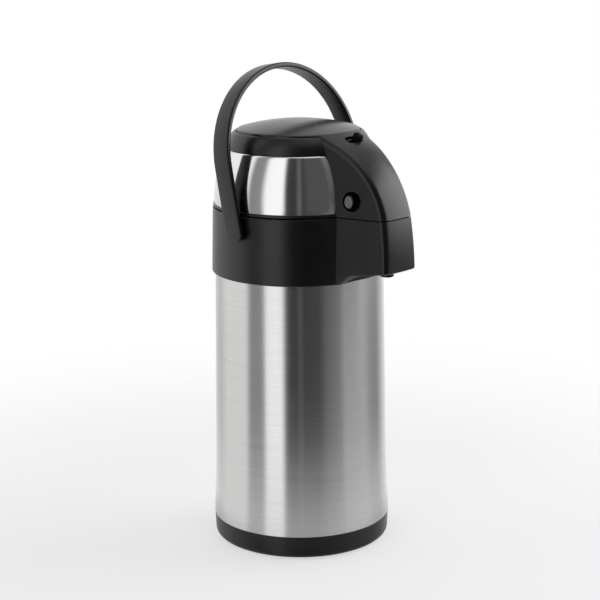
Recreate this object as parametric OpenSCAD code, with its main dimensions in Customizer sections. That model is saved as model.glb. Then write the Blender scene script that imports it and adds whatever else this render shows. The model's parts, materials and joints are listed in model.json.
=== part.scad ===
// Thermal coffee airpot: a double-walled steel vessel with a push-button air pump in its lid,
// a beak-shaped spout and a swinging carry handle. Millimetres, +Z up, the spout towards -Y,
// the origin on the table under the middle of the base.

/* [Base and vessel] */
// Height of the plastic base cup
base_h = 21.4; // [16:0.2:26]
// Radius of the base cup at its top edge
base_r = 80.3; // [79.5:0.1:80.5]
// Radius of the base cup just above its bottom edge
base_foot_r = 79.6; // [79.2:0.1:79.8]
// Radius of the rounded bottom edge of the base cup
base_edge_r = 5.5; // [4:0.5:6.5]
// Radius of the steel shell under the collar
shell_r_top = 75.7; // [75.2:0.1:75.8]
// Growth of the shell radius for each millimetre downwards
shell_taper = 0.0154; // [0.012:0.0002:0.016]
// Extra flare of the shell at its foot
shell_flare = 1.3; // [0.8:0.1:1.4]
// Radius of the inside of the liner
liner_r = 68.5; // [64:0.5:69]
// Radius of the inside of the filling mouth
mouth_r = 45; // [43:0.5:45]

/* [Collar and spout] */
// Height of the lower edge of the collar
collar_z0 = 249; // [247:0.5:251]
// Height of the upper edge of the collar
collar_z1 = 307.3; // [306.8:0.1:307.4]
// Radius of the collar at its lower edge
collar_r0 = 78.6; // [78.2:0.1:79]
// Radius of the collar at its upper edge
collar_r1 = 77; // [76.8:0.1:77.2]
// Height of the underside of the beak
beak_z0 = 261; // [259:0.5:263]
// Half width of the beak at its front crease
beak_half_w = 17.5; // [17:0.1:18]
// Distance of the front crease from the axis at the seam
beak_reach = 113; // [112:0.5:114]
// Turn of the beak's side panels from straight ahead, in degrees
beak_side_turn = 13.1; // [12:0.1:14]
// Inward lean of the lid's side panels, in degrees
beak_side_lean = 5.3; // [4.5:0.1:6]
// Distance of the nozzle from the axis
nozzle_y = 103; // [101:0.5:104]

/* [Lid and pump] */
// Height of the lower edge of the lid
lid_z0 = 308.3; // [308.2:0.1:308.6]
// Height of the lower edge of the steel crown
crown_z0 = 311; // [310.8:0.1:311.4]
// Height of the upper edge of the steel crown
crown_z1 = 359.2; // [358.8:0.1:359.4]
// Radius of the arc that the crown is turned from
crown_arc_r = 113; // [112.5:0.1:113.5]
// Radius of the pump button
button_r = 54.6; // [54.2:0.1:54.8]
// Rise of the pump button's dome
button_rise = 7.8; // [6:0.1:9]
// Stroke of the pump button
button_stroke = 20; // [15:0.5:20]

/* [Handle] */
// Height of the handle's pivots
pivot_z = 293; // [291:0.5:295]
// Lean of the handle towards the back, in degrees
handle_lean = 11.4; // [8:0.2:12]
// Rise of the handle's top above its pivots
handle_rise = 141; // [138:0.5:144]
// Half width of the handle at its widest
handle_half_w = 84.6; // [84.2:0.1:86]
// Half width of the handle at its pivots
handle_pivot_half_w = 83.8; // [83.6:0.1:84]
// Thickness of the handle band
handle_t = 4.6; // [4.2:0.1:4.8]
// Width of the handle band at its pivots
handle_w0 = 20; // [18:0.5:22]
// Width of the handle band at its top
handle_w1 = 17.5; // [14:0.5:19]

/* [Hidden] */
$fn = 96;
wall = 2.4;
steel = 1;
far = 400;
seam_gap = lid_z0 - collar_z1;

// Vessel heights and radii
flare_z = 90;
shoulder_z = 256;
shoulder_r = 16;
shoulder_top = shoulder_z + shoulder_r;
neck_r = mouth_r + 3;
neck_z = 292;
lip_z = neck_z + steel;
liner_z0 = 27;
liner_corner = 18;
liner_shoulder_z = 246;
liner_shoulder_r = 14;
foot_r = 72;
foot_lift = 0.8;
foot_top = 2.5;
base_floor = 6.3;
base_screw_at = 42;

// Collar deck, stopper and water path
deck_z = 283;
deck_t = 3;
deck_r = neck_r + 1;
skirt_r = 76.2;
bowl_r = 74.5;
stopper_r = mouth_r - 0.5;
flange_r = 52;
flange_z = lip_z + 1.4;
flange_t = 2;
air_seat_z = 306;
tube_y = 28;
tube_r = 5;
tube_bore = 4;
pipe_z = 301.6;
pipe_r = 5;
pipe_bore = 3.6;
nozzle_top = 272;
nozzle_tip = 259;
nozzle_r = 6;

// Hinge at the back of the lid
hinge_y = 83.5;
hinge_z = 309;
hinge_pin_r = 2;
knuckle_r = 5;
knuckle_half = 11.7;
lug_x0 = 12;
lug_x1 = 20;

// Lid
rim_r = 76.4;
crown_arc_at = [-37.4, 308];
crown_t = 0.8;
barrel_r = button_r + 0.6;
barrel_t = 2;
ring_z0 = crown_z1 + 0.2;
ring_z1 = 375.7;
ring_arc_at = [29.9, 353.9];
ring_arc_r = 33.6;
floor_r = 70.6;
floor_t = 2.2;
lid_screw_at = 65;
beak_arc_at = [-26.1, 287.1];
beak_arc_r = 90.9;
beak_cross_r = 103;
beak_cove_at = [-88, 247.6];
beak_cove_r = 11;
lock_y = -67;
lock_slot = [17, 8.4];
lock_knob = [6, 7];
lock_at = 4.5;
release_at = [30.3, 14.1];
release_r = 5.6;
release_proud = 5.5;
release_recess_r = 8.6;
release_recess = 1.6;

// Pump
button_edge_z = ring_z1 + 0.2;
button_skirt = 19;
button_edge = 3;
dome_r = (button_r * button_r + button_rise * button_rise) / (2 * button_rise);
dome_z = button_edge_z + button_rise;
plunger_z = 368.6;
bellows_z0 = 312.7;
bellows_z1 = plunger_z - 0.2;
bellows_folds = 6;
bellows_r0 = 31;
bellows_r1 = 41;
bellows_t = 1.6;

// Handle
handle_arch_h = 58;
tongue_h = 6.8;
tongue_r = 5.5;
pin_r = 5;
pin_fit = 0.06;

plastic = [0.07, 0.07, 0.075];
satin_steel = [0.74, 0.74, 0.73];
silicone = [0.78, 0.78, 0.76];

// Points of an arc about a centre, from one angle to another
function arc(at, r, a0, a1, n = 10) =
    [for (i = [0:n]) let (a = a0 + (a1 - a0) * i / n) at + r * [cos(a), sin(a)]];

// Radius of the steel shell's outside at a height
function shell_r(z) = shell_r_top + (collar_z0 - z) * shell_taper
    + shell_flare * pow(max(0, flare_z - z) / (flare_z - base_h), 2);

// Half width of the handle's outer line at a height above the pivots
function handle_x(h) = h >= handle_arch_h
    ? handle_half_w * sqrt(max(0, 1 - pow((h - handle_arch_h) / (handle_rise - handle_arch_h), 2)))
    : handle_half_w - (handle_half_w - handle_pivot_half_w) * pow(1 - h / handle_arch_h, 2);

// Centre line of a coil, and the least gap between neighbouring turns
coil_rings = 12;
coil_sides = 6;
function coil_point(r, wire, length, turns, i) =
    let (a = 360 * i / coil_rings)
    [r * cos(a), r * sin(a), wire + (length - 2 * wire) * i / (turns * coil_rings)];
function coil_gap(r, wire, length, turns) = min([for (i = [0:(turns - 1) * coil_rings])
    norm(coil_point(r, wire, length, turns, i + coil_rings) - coil_point(r, wire, length, turns, i))])
    - 2 * wire;

// A wire coil standing on z = 0, one unbroken tube
module coil(r, wire, length, turns) {
    n = turns * coil_rings;
    echo("least gap between turns", coil_gap(r, wire, length, turns));
    points = [for (i = [0:n], j = [0:coil_sides - 1])
        let (p = coil_point(r, wire, length, turns, i), a = 360 * i / coil_rings, b = 360 * j / coil_sides)
        p + wire * [cos(b) * cos(a), cos(b) * sin(a), sin(b)]];
    sides = [for (i = [0:n - 1], j = [0:coil_sides - 1])
        let (k = (j + 1) % coil_sides, a = i * coil_sides, b = a + coil_sides)
        each [[a + j, a + k, b + k], [a + j, b + k, b + j]]];
    ends = [for (j = [1:coil_sides - 2])
        each [[0, j + 1, j], [n * coil_sides, n * coil_sides + j, n * coil_sides + j + 1]]];
    polyhedron(points, concat(sides, ends));
}

// A ring turned from a plain rectangle
module ring(r0, r1, z0, z1) {
    rotate_extrude() translate([r0, z0]) square([r1 - r0, z1 - z0]);
}

// Frame of the left side panel of the beak: x inwards through the panel, y back along it, z up it
module on_panel(lean = beak_side_lean) {
    translate([-beak_half_w, -beak_reach, lid_z0]) rotate([0, 0, beak_side_turn]) rotate([0, lean, 0])
        children();
}

// Runs its children on both sides of the spout
module both_sides() {
    children();
    mirror([1, 0, 0]) children();
}

// Everything outside the two side panels of the beak
module beyond_panels(inset, lean) {
    both_sides() on_panel(lean) translate([inset - far, -far / 2, -far / 2]) cube(far);
}

// Solid form of the lid's part of the beak, drawn in by an inset
module beak_top_form(inset) {
    difference() {
        translate([0, beak_arc_at[0], beak_arc_at[1]]) rotate([0, 90, 0]) rotate_extrude()
            intersection() {
                translate([beak_arc_r - beak_cross_r, 0]) circle(r = beak_cross_r - inset, $fn = 180);
                translate([0, -60]) square([far, 120]);
            }
        beyond_panels(inset, beak_side_lean);
        translate([-far / 2, -far / 2, lid_z0 - far]) cube(far);
        translate([-far / 2, -40, 0]) cube(far * 2);
    }
}

// Solid form of the collar's part of the beak, drawn in by an inset
module beak_low_form(inset, z0) {
    difference() {
        intersection() {
            translate([0, beak_cross_r - beak_reach - 1.6, collar_z1]) rotate([-6.9, 0, 0])
                cylinder(r = beak_cross_r - inset, h = 2 * far, center = true, $fn = 180);
            translate([-far / 2, -far - 40, z0]) cube([far, far, collar_z1 - z0]);
        }
        beyond_panels(inset, 0);
    }
}

// Rubber pad that the pot stands on
module foot_pad() {
    color([0.12, 0.12, 0.12]) cylinder(r = foot_r, h = foot_top);
}

// Half section of the base cup's outside, drawn in by an inset
module base_section(inset, z0) {
    edge = base_edge_r - inset;
    at = [base_foot_r - base_edge_r, foot_lift + base_edge_r];
    intersection() {
        union() {
            translate(at) circle(r = edge);
            polygon([[0, at[1] - edge], [at[0], at[1] - edge], [at[0], at[1]], [at[0] + edge, at[1]],
                [base_r - inset, base_h], [0, base_h]]);
        }
        translate([0, z0]) square(far);
    }
}

// Moulded cup under the vessel, with three screw posts
module base_cup() {
    color(plastic) difference() {
        rotate_extrude() base_section(0, 0);
        difference() {
            translate([0, 0, 0.01]) rotate_extrude() base_section(wall, base_floor);
            for (a = [0:120:240]) rotate(a) translate([base_screw_at, 0, 0]) cylinder(r = 5, h = base_h);
        }
        cylinder(r = foot_r, h = foot_top);
        for (a = [0:120:240]) rotate(a) translate([base_screw_at, 0, 0]) {
            cylinder(r = 1.6, h = base_h + 1);
            cylinder(r = 3.6, h = base_floor - 0.5);
        }
    }
}

// Three screws that hold the base cup
module base_screws() {
    color(satin_steel) for (a = [0:120:240]) rotate(a) translate([base_screw_at, 0, base_floor - 0.5]) {
        cylinder(r = 1.5, h = base_h - base_floor + 0.3);
        translate([0, 0, -2]) cylinder(r = 3.3, h = 2);
    }
}

// Brushed outer wall of the vessel, with its bottom, shoulder and neck
module outer_shell() {
    heights = [base_h, 26, 32, 40, 50, 60, 75, 90, 130, 170, 210, collar_z0, shoulder_z];
    wall_line = [for (z = heights) [shell_r(z), z]];
    shoulder_at = [shell_r(shoulder_z) - shoulder_r, shoulder_z];
    outside = concat(wall_line, arc(shoulder_at, shoulder_r, 0, 90),
        [[neck_r, shoulder_top], [neck_r, neck_z]]);
    inside = concat([[neck_r - steel, neck_z], [neck_r - steel, shoulder_top - steel]],
        arc(shoulder_at, shoulder_r - steel, 90, 0),
        [for (i = [len(heights) - 2:-1:1]) [shell_r(heights[i]) - steel, heights[i]]],
        [[shell_r(base_h) - steel, base_h + steel], [0, base_h + steel], [0, base_h]]);
    color(satin_steel) rotate_extrude($fn = 180) polygon(concat(outside, inside));
}

// Inner wall of the vessel, with the rolled lip of its mouth
module inner_liner() {
    r = liner_r + steel;
    shoulder_at = [r - liner_shoulder_r, liner_shoulder_z];
    top = liner_shoulder_z + liner_shoulder_r;
    outside = concat([[r, liner_z0 + liner_corner]], arc(shoulder_at, liner_shoulder_r, 0, 90),
        [[mouth_r + steel, top], [mouth_r + steel, neck_z], [neck_r, neck_z], [neck_r, lip_z]]);
    inside = concat([[mouth_r, lip_z], [mouth_r, top - steel]],
        arc(shoulder_at, liner_shoulder_r - steel, 90, 0), [[liner_r, liner_z0 + liner_corner]]);
    color([0.8, 0.8, 0.79]) rotate_extrude($fn = 180) polygon(concat(outside, inside));
}

// Round pan welded under the inner wall
module liner_pan() {
    at = [liner_r + steel - liner_corner, liner_z0 + liner_corner];
    color([0.8, 0.8, 0.79]) rotate_extrude($fn = 180) difference() {
        union() {
            square([at[0], at[1]]);
            translate(at) circle(r = liner_corner);
        }
        square([far, liner_z0]);
        translate([0, at[1]]) square(far);
        translate([0, liner_z0 + steel]) square([at[0], far]);
        translate(at) circle(r = liner_corner - steel);
    }
}

// Ring on the neck that clamps the collar's deck down
module neck_ring() {
    color(plastic) difference() {
        ring(neck_r + 0.2, neck_r + 8, deck_z + deck_t, deck_z + deck_t + 5.5);
        for (a = [0:45:315]) rotate(a) translate([neck_r + 8.6, 0, 0]) cylinder(r = 1.8, h = far);
    }
}

// Everything above the underside of the beak, which falls towards the collar and ends in a cove
module above_beak_underside(inset) {
    slope = tan(7);
    rotate([90, 0, 90]) linear_extrude(far, center = true) difference() {
        translate([-far, 0]) square([far - 40, far]);
        polygon([[-far, 0], [-far, beak_z0 + inset + (far - 107) * slope],
            [beak_cove_at[0], beak_z0 + inset + (-beak_cove_at[0] - 107) * slope], [beak_cove_at[0], 0]]);
        translate(beak_cove_at) circle(r = beak_cove_r + inset);
        translate([beak_cove_at[0], 0]) square([beak_cove_r + inset, beak_cove_at[1]]);
    }
}

// Moulded collar: skirt, deck, lower half of the beak, handle sockets and hinge lugs
module collar() {
    skirt = [[skirt_r, collar_z0], [collar_r0 - 0.7, collar_z0], [collar_r0, collar_z0 + 0.9],
        [collar_r1, collar_z1 - 1], [collar_r1 - 0.8, collar_z1], [bowl_r, collar_z1],
        [bowl_r, deck_z + deck_t], [deck_r, deck_z + deck_t], [deck_r, deck_z], [bowl_r, deck_z],
        [bowl_r, shoulder_top + 3], [skirt_r, shoulder_top]];
    color(plastic) difference() {
        union() {
            rotate_extrude($fn = 180) polygon(skirt);
            ring(neck_r + 5, neck_r + 8, shoulder_top, deck_z);
            difference() {
                intersection() {
                    beak_low_form(0, collar_z0 + 2.5);
                    above_beak_underside(0);
                }
                translate([0, 0, deck_z]) cylinder(r = bowl_r, h = far);
                cylinder(r = skirt_r, h = deck_z);
            }
            both_sides() translate([-bowl_r - 1, 0, pivot_z]) rotate([0, 90, 0]) cylinder(r = 9, h = 5);
            both_sides() hinge_lug();
        }
        difference() {
            intersection() {
                beak_low_form(wall, collar_z0 + 2.5 + wall);
                above_beak_underside(wall);
            }
            translate([0, 0, deck_z - far]) cylinder(r = bowl_r + wall, h = far);
            translate([0, 0, deck_z]) cylinder(r = collar_r1 - 0.4, h = 4);
        }
        translate([-9, -bowl_r - 12, deck_z + 8]) cube([18, 20, far]);
        translate([0, -nozzle_y, 0]) cylinder(r = nozzle_r + 0.4, h = far);
        translate([-26, -far / 2 - 60, collar_z0 - 1]) cube([52, far / 2, 3.5]);
        translate([-far / 2, 0, pivot_z]) rotate([0, 90, 0]) cylinder(r = pin_r + pin_fit, h = far);
        translate([-far / 2, hinge_y, hinge_z]) rotate([0, 90, 0]) cylinder(r = hinge_pin_r, h = far);
    }
}

// One of the two lugs that carry the hinge pin
module hinge_lug() {
    translate([lug_x0, 0, 0]) rotate([90, 0, 90]) linear_extrude(lug_x1 - lug_x0) {
        translate([hinge_y, hinge_z]) circle(r = knuckle_r);
        polygon([[bowl_r - 3, deck_z + 1], [collar_r1 + 0.6, deck_z + 1],
            [hinge_y, hinge_z] + knuckle_r * [cos(-35), sin(-35)], [hinge_y, hinge_z],
            [hinge_y, hinge_z] + knuckle_r * [cos(215), sin(215)], [bowl_r - 3, collar_z1 - 4]]);
    }
}

// Plug that closes the mouth, with the seats of the siphon tube and the air port
module stopper() {
    color(silicone) translate([0, 0, lip_z - 11]) difference() {
        union() {
            cylinder(r = stopper_r, h = 11);
            translate([0, 0, 11]) cylinder(r = stopper_r, h = flange_z - lip_z);
            translate([0, 0, flange_z - lip_z + 11]) cylinder(r = flange_r, h = flange_t);
            cylinder(r = 11, h = air_seat_z - lip_z + 11);
        }
        translate([0, -tube_y, -1]) cylinder(r = tube_r, h = far);
        translate([0, 0, -1]) cylinder(r = 4, h = far);
        for (a = [30:60:330]) rotate(a) translate([28, 0, -1]) cylinder(r = 8, h = 9);
    }
}

// Silicone ring between the stopper's flange and the lip of the mouth
module stopper_gasket() {
    color(silicone) ring(stopper_r, neck_r + 2, lip_z, flange_z);
}

// Tube from the bottom of the liner to the stopper
module siphon_tube() {
    color(silicone) translate([0, -tube_y, 0]) difference() {
        translate([0, 0, 36]) cylinder(r = tube_r, h = flange_z + flange_t - 36);
        translate([0, 0, 35]) cylinder(r = tube_bore, h = far);
        translate([-far / 2, 0, 36]) rotate([0, 90, 0]) cylinder(r = 2.2, h = far);
    }
}

// Run of round pipe over the stopper and down into the spout
module pipe_run(r, z0, z1) {
    translate([0, -tube_y, z0]) cylinder(r = r, h = pipe_z - z0);
    translate([0, -tube_y, pipe_z]) sphere(r = r);
    translate([0, -tube_y, pipe_z]) rotate([90, 0, 0]) cylinder(r = r, h = nozzle_y - tube_y);
    translate([0, -nozzle_y, pipe_z]) sphere(r = r);
    translate([0, -nozzle_y, z1]) cylinder(r = r, h = pipe_z - z1);
}

// Pipe that carries the coffee from the siphon tube to the nozzle
module outlet_pipe() {
    color(silicone) difference() {
        pipe_run(pipe_r, flange_z + flange_t, nozzle_top);
        pipe_run(pipe_bore, flange_z, nozzle_top - 5);
    }
}

// Nozzle at the underside of the beak
module spout_nozzle() {
    color(plastic) translate([0, -nozzle_y, 0]) rotate_extrude()
        polygon([[4, nozzle_tip], [nozzle_r - 0.6, nozzle_tip], [nozzle_r, nozzle_tip + 0.8],
            [nozzle_r, nozzle_top - 5], [nozzle_r + 2, nozzle_top - 3.5], [nozzle_r + 2, nozzle_top],
            [4, nozzle_top]]);
}

// Steel pin of the lid's hinge
module hinge_pin() {
    color(satin_steel) translate([-lug_x1 - 0.6, hinge_y, hinge_z]) rotate([0, 90, 0])
        cylinder(r = hinge_pin_r, h = 2 * lug_x1 + 1.2);
}

// Places its children in the handle's own upright plane
module in_handle_plane() {
    translate([0, 0, pivot_z]) rotate([-handle_lean, 0, 0]) children();
}

// Filled outline of the handle seen along its band, drawn in by an inset
module handle_outline(inset) {
    steps = 32;
    rise = handle_rise - inset;
    arch = [for (i = [0:steps]) let (a = 90 * i / steps)
        [(handle_half_w - inset) * cos(a), handle_arch_h + (rise - handle_arch_h) * sin(a)]];
    arm = [for (i = [0:8]) let (h = -handle_w0 + (handle_arch_h + handle_w0) * i / 8)
        [handle_x(max(h, 0)) - inset, h]];
    half = concat(arm, [for (i = [1:steps]) arch[i]]);
    polygon(concat(half, [for (i = [len(half) - 2:-1:0]) [-half[i][0], half[i][1]]]));
}

// Swinging carry handle, a band that narrows towards its top
// Outline of the handle's end below its pivot, seen from the side
module tongue() {
    half = handle_w0 / 2;
    intersection() {
        translate([-half, -tongue_h]) square([handle_w0, tongue_h + 1]);
        union() {
            translate([tongue_r - half, -tongue_h]) square([handle_w0 - 2 * tongue_r, handle_w0]);
            translate([-half, tongue_r - tongue_h]) square([handle_w0, handle_w0]);
            for (side = [-1, 1]) translate([side * (half - tongue_r), tongue_r - tongue_h])
                circle(r = tongue_r);
        }
    }
}

module handle() {
    side = [[-handle_w0 / 2, 0], [handle_w0 / 2, 0], [handle_w1 / 2, handle_rise + 1],
        [-handle_w1 / 2, handle_rise + 1]];
    color(plastic) in_handle_plane() difference() {
        intersection() {
            rotate([90, 0, 0]) linear_extrude(2 * handle_w0, center = true) difference() {
                handle_outline(0);
                handle_outline(handle_t);
            }
            rotate([90, 0, 90]) linear_extrude(far, center = true) {
                polygon(side);
                tongue();
            }
        }
        both_sides() rotate([0, 90, 0]) cylinder(r = pin_r, h = handle_pivot_half_w - 2);
    }
}

// Two stub pins that the handle swings on
module handle_pins() {
    color(plastic) both_sides() translate([bowl_r - 3, 0, pivot_z]) rotate([0, 90, 0])
        cylinder(r = pin_r, h = handle_pivot_half_w - 2 - bowl_r + 3);
}

// Half section of the lid's arched top ring, hollow underneath
module lid_ring_section() {
    difference() {
        translate(ring_arc_at) circle(r = ring_arc_r, $fn = 180);
        intersection() {
            translate(ring_arc_at) circle(r = ring_arc_r - wall, $fn = 180);
            translate([barrel_r + barrel_t, 0]) square(far);
        }
        translate([-far, 0]) square([far + barrel_r, 2 * far]);
        translate([0, ring_z0 - far]) square(far);
        translate([0, ring_z1]) square(far);
    }
}

// Moulded lid: rim, pump barrel, top ring, upper half of the beak and hinge knuckle
module lid_housing() {
    body = [[barrel_r, lid_z0 + floor_t], [floor_r, lid_z0 + floor_t], [floor_r, lid_z0],
        [rim_r - 0.6, lid_z0], [rim_r, lid_z0 + 0.6], [rim_r, crown_z0 - 0.9], [rim_r - 0.8, crown_z0],
        [floor_r, crown_z0], [floor_r - 1, crown_z0 + 1.4], [barrel_r + barrel_t, crown_z0 + 1.4],
        [barrel_r + barrel_t, ring_z1 - 5], [barrel_r, ring_z1 - 5]];
    color(plastic) difference() {
        union() {
            rotate_extrude($fn = 180) {
                polygon(body);
                lid_ring_section();
            }
            difference() {
                beak_top_form(0);
                beak_top_form(wall);
                cylinder(r = barrel_r + 0.2, h = far);
                cylinder(r = floor_r, h = lid_z0 + floor_t);
            }
            intersection() {
                beak_top_form(0.4);
                both_sides() on_panel() release_guide();
            }
            for (a = [45:90:315]) rotate(a) translate([lid_screw_at, 0, crown_z0]) cylinder(r = 3.6, h = 13);
            hinge_knuckle();
        }
        both_sides() on_panel() translate([0, release_at[0], release_at[1]]) rotate([0, 90, 0]) {
            translate([0, 0, -far / 2]) cylinder(r = release_recess_r, h = far / 2 + release_recess);
            translate([0, 0, -1]) cylinder(r = release_r + 0.06, h = 9);
        }
        on_lock() translate([-lock_slot[0] / 2, -lock_slot[1] / 2, -9])
            cube([lock_slot[0], lock_slot[1], 20]);
        on_lock() translate([-14, -6.3, -6.5]) cube([29, 12.6, 2.8]);
        for (a = [45:90:315]) rotate(a) translate([lid_screw_at, 0, 0]) cylinder(r = 1.2, h = crown_z0 + 11.5);
        translate([-far / 2, hinge_y, hinge_z]) rotate([0, 90, 0])
            cylinder(r = hinge_pin_r + 0.06, h = far);
    }
}

// Boss that guides a release button, and the tab that its spring pushes on
module release_guide() {
    translate([0, release_at[0], release_at[1]]) {
        rotate([0, 90, 0]) cylinder(r = 10.5, h = 6.5);
        translate([17.5, -5, -8]) cube([2, 10, 60]);
    }
}

// Knuckle of the lid's hinge, on a short tongue behind the rim
module hinge_knuckle() {
    translate([-knuckle_half, 0, 0]) rotate([90, 0, 90]) linear_extrude(2 * knuckle_half) {
        translate([hinge_y, hinge_z]) circle(r = knuckle_r);
        polygon([[rim_r - 3.5, lid_z0 + 0.2], [hinge_y, lid_z0 + 0.2], [hinge_y, hinge_z + knuckle_r - 0.2],
            [hinge_y - 3, hinge_z + knuckle_r - 1.2], [rim_r + 0.3, crown_z0 - 0.2],
            [rim_r - 3.5, crown_z0 - 0.2]]);
    }
}

// Frame of the lock slot, x across the beak and z out of its top
module on_lock() {
    lean = asin((beak_arc_at[0] - lock_y) / beak_arc_r);
    translate([0, lock_y, beak_arc_at[1] + beak_arc_r * cos(lean)]) rotate([lean, 0, 0]) children();
}

// Polished steel band around the lid
module crown_band() {
    color([0.82, 0.82, 0.82]) difference() {
        rotate_extrude($fn = 180) intersection() {
            difference() {
                translate(crown_arc_at) circle(r = crown_arc_r, $fn = 180);
                translate(crown_arc_at) circle(r = crown_arc_r - crown_t, $fn = 180);
            }
            translate([barrel_r, crown_z0]) square([30, crown_z1 - crown_z0]);
        }
        beak_top_form(-0.25);
    }
}

// Plate that closes the underside of the lid, with the air port
module lid_floor() {
    color(plastic) difference() {
        union() {
            translate([0, 0, lid_z0]) cylinder(r = floor_r - 0.2, h = floor_t);
            translate([0, 0, air_seat_z + 0.4]) cylinder(r = 7, h = lid_z0 - air_seat_z);
            ring(34.2, 36, lid_z0 + floor_t, lid_z0 + floor_t + 3);
        }
        cylinder(r = 3.5, h = far);
        for (a = [45:90:315]) rotate(a) translate([lid_screw_at, 0, 0]) {
            cylinder(r = 1.4, h = far);
            cylinder(r = 3, h = lid_z0 + 1.2);
        }
        beak_low_form(-2, lid_z0 - 20);
    }
}

// Four screws that hold the lid's floor plate
module lid_screws() {
    color(satin_steel) for (a = [45:90:315]) rotate(a) translate([lid_screw_at, 0, lid_z0 + 1.2]) {
        cylinder(r = 1.2, h = 10);
        translate([0, 0, -1.1]) cylinder(r = 2.8, h = 1.1);
    }
}

// Rubber bellows that pumps the air
module bellows() {
    fold = (bellows_z1 - bellows_z0) / bellows_folds;
    outside = [for (i = [0:bellows_folds - 1], k = [0, 0.5])
        [k == 0 ? bellows_r0 : bellows_r1, bellows_z0 + (i + k) * fold]];
    inside = [for (i = [len(outside) - 1:-1:0]) outside[i] - [bellows_t, 0]];
    color([0.16, 0.16, 0.16]) rotate_extrude() polygon(concat(outside,
        [[bellows_r0, bellows_z1], [0, bellows_z1], [0, bellows_z1 - bellows_t],
        [bellows_r0 - bellows_t, bellows_z1 - bellows_t]], inside));
}

// Coil spring inside the bellows that lifts the button again
module return_spring() {
    color(satin_steel) translate([0, 0, lid_z0 + floor_t])
        coil(18, 1.1, bellows_z1 - bellows_t - lid_z0 - floor_t, 7);
}

// Half section of the press button's outside, with its rounded shoulder, drawn in by an inset
module button_section(inset) {
    r = button_r - inset;
    at = [button_r - button_edge, dome_z - dome_r + sqrt(pow(dome_r - button_edge, 2)
        - pow(button_r - button_edge, 2))];
    skirt_z = button_edge_z - button_skirt;
    intersection() {
        translate([0, dome_z - dome_r]) circle(r = dome_r - inset, $fn = 360);
        translate([0, skirt_z]) square([at[0], far]);
    }
    translate(at) circle(r = button_edge - inset);
    translate([0, skirt_z]) square([r, at[1] - skirt_z]);
}

// Domed press button with its skirt and plunger
module pump_button() {
    color(plastic) difference() {
        union() {
            difference() {
                rotate_extrude($fn = 180) button_section(0);
                translate([0, 0, -0.01]) rotate_extrude() button_section(wall);
            }
            ring(11, 14, plunger_z, dome_z - wall - 0.4);
            translate([0, 0, plunger_z]) cylinder(r = 38, h = 2.4);
            for (a = [0:60:300]) rotate(a) translate([13, -1, plunger_z]) cube([button_r - 14.4, 2, 7]);
        }
        translate([0, 0, plunger_z - 1]) cylinder(r = 3, h = 8);
    }
}

// Sliding lock in front of the button
module lock_slider() {
    color(plastic) on_lock() translate([lock_at, 0, 0]) {
        translate([-lock_knob[0] / 2, -lock_knob[1] / 2, -6]) cube([lock_knob[0], lock_knob[1], 8]);
        translate([-9, -5.8, -6]) cube([18, 11.6, 1.8]);
    }
}

// One push button that frees the lid, with its hook, in the frame of a side panel
module release_button() {
    color(plastic) on_panel() translate([0, release_at[0], release_at[1]]) {
        rotate([0, 90, 0]) translate([0, 0, -release_proud + 1]) cylinder(r = release_r, h = 7 + release_proud);
        rotate([0, 90, 0]) translate([0, 0, -release_proud]) cylinder(r1 = release_r - 1, r2 = release_r, h = 1);
        rotate([0, 90, 0]) translate([0, 0, 7]) cylinder(r = 7.2, h = 2);
        translate([7, -8.5, -24]) cube([2, 5, 24]);
        translate([6, -8.5, -24]) cube([2, 5, 2]);
    }
}

module release_button_left() {
    release_button();
}

module release_button_right() {
    mirror([1, 0, 0]) release_button();
}

// Small coil behind a release button
module release_spring() {
    color(satin_steel) on_panel() translate([9, release_at[0], release_at[1]]) rotate([0, 90, 0])
        coil(3.6, 0.4, 8.4, 5);
}

module release_spring_left() {
    release_spring();
}

module release_spring_right() {
    mirror([1, 0, 0]) release_spring();
}

foot_pad();
base_cup();
base_screws();
outer_shell();
inner_liner();
liner_pan();
neck_ring();
collar();
stopper();
stopper_gasket();
siphon_tube();
outlet_pipe();
spout_nozzle();
hinge_pin();
handle();
handle_pins();
lid_housing();
crown_band();
lid_floor();
lid_screws();
bellows();
return_spring();
pump_button();
lock_slider();
release_button_left();
release_button_right();
release_spring_left();
release_spring_right();
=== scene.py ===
"""Thermal coffee airpot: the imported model's looks, its rounded pieces, its finishes and its studio."""

import json
import logging
import math
from dataclasses import dataclass
from enum import Enum
from functools import cache
from typing import Any, Callable, Sequence

import bmesh
import bpy
from mathutils import Matrix, Vector


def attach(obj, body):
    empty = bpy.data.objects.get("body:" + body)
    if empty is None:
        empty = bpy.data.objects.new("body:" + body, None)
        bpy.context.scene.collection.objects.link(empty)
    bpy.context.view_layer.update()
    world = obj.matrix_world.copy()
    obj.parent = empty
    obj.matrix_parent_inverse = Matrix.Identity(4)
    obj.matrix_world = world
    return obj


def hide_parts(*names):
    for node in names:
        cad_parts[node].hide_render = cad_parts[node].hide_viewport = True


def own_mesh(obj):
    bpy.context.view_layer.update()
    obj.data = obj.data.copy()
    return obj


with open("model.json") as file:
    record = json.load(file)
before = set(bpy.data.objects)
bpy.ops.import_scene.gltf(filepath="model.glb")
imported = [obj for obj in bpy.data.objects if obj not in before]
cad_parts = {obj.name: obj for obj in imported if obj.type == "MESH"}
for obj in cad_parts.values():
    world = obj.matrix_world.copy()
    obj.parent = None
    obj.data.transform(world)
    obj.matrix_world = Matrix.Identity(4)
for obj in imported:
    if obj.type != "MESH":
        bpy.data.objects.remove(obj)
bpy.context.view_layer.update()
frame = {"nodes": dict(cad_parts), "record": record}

MM = 0.001
X, Y, Z = range(3)
LOG = logging.getLogger("airpot")

Number = int | float
Point2 = tuple[float, float]
Point3 = tuple[float, float, float]
Colour = tuple[float, float, float]


# Shader graphs


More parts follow.
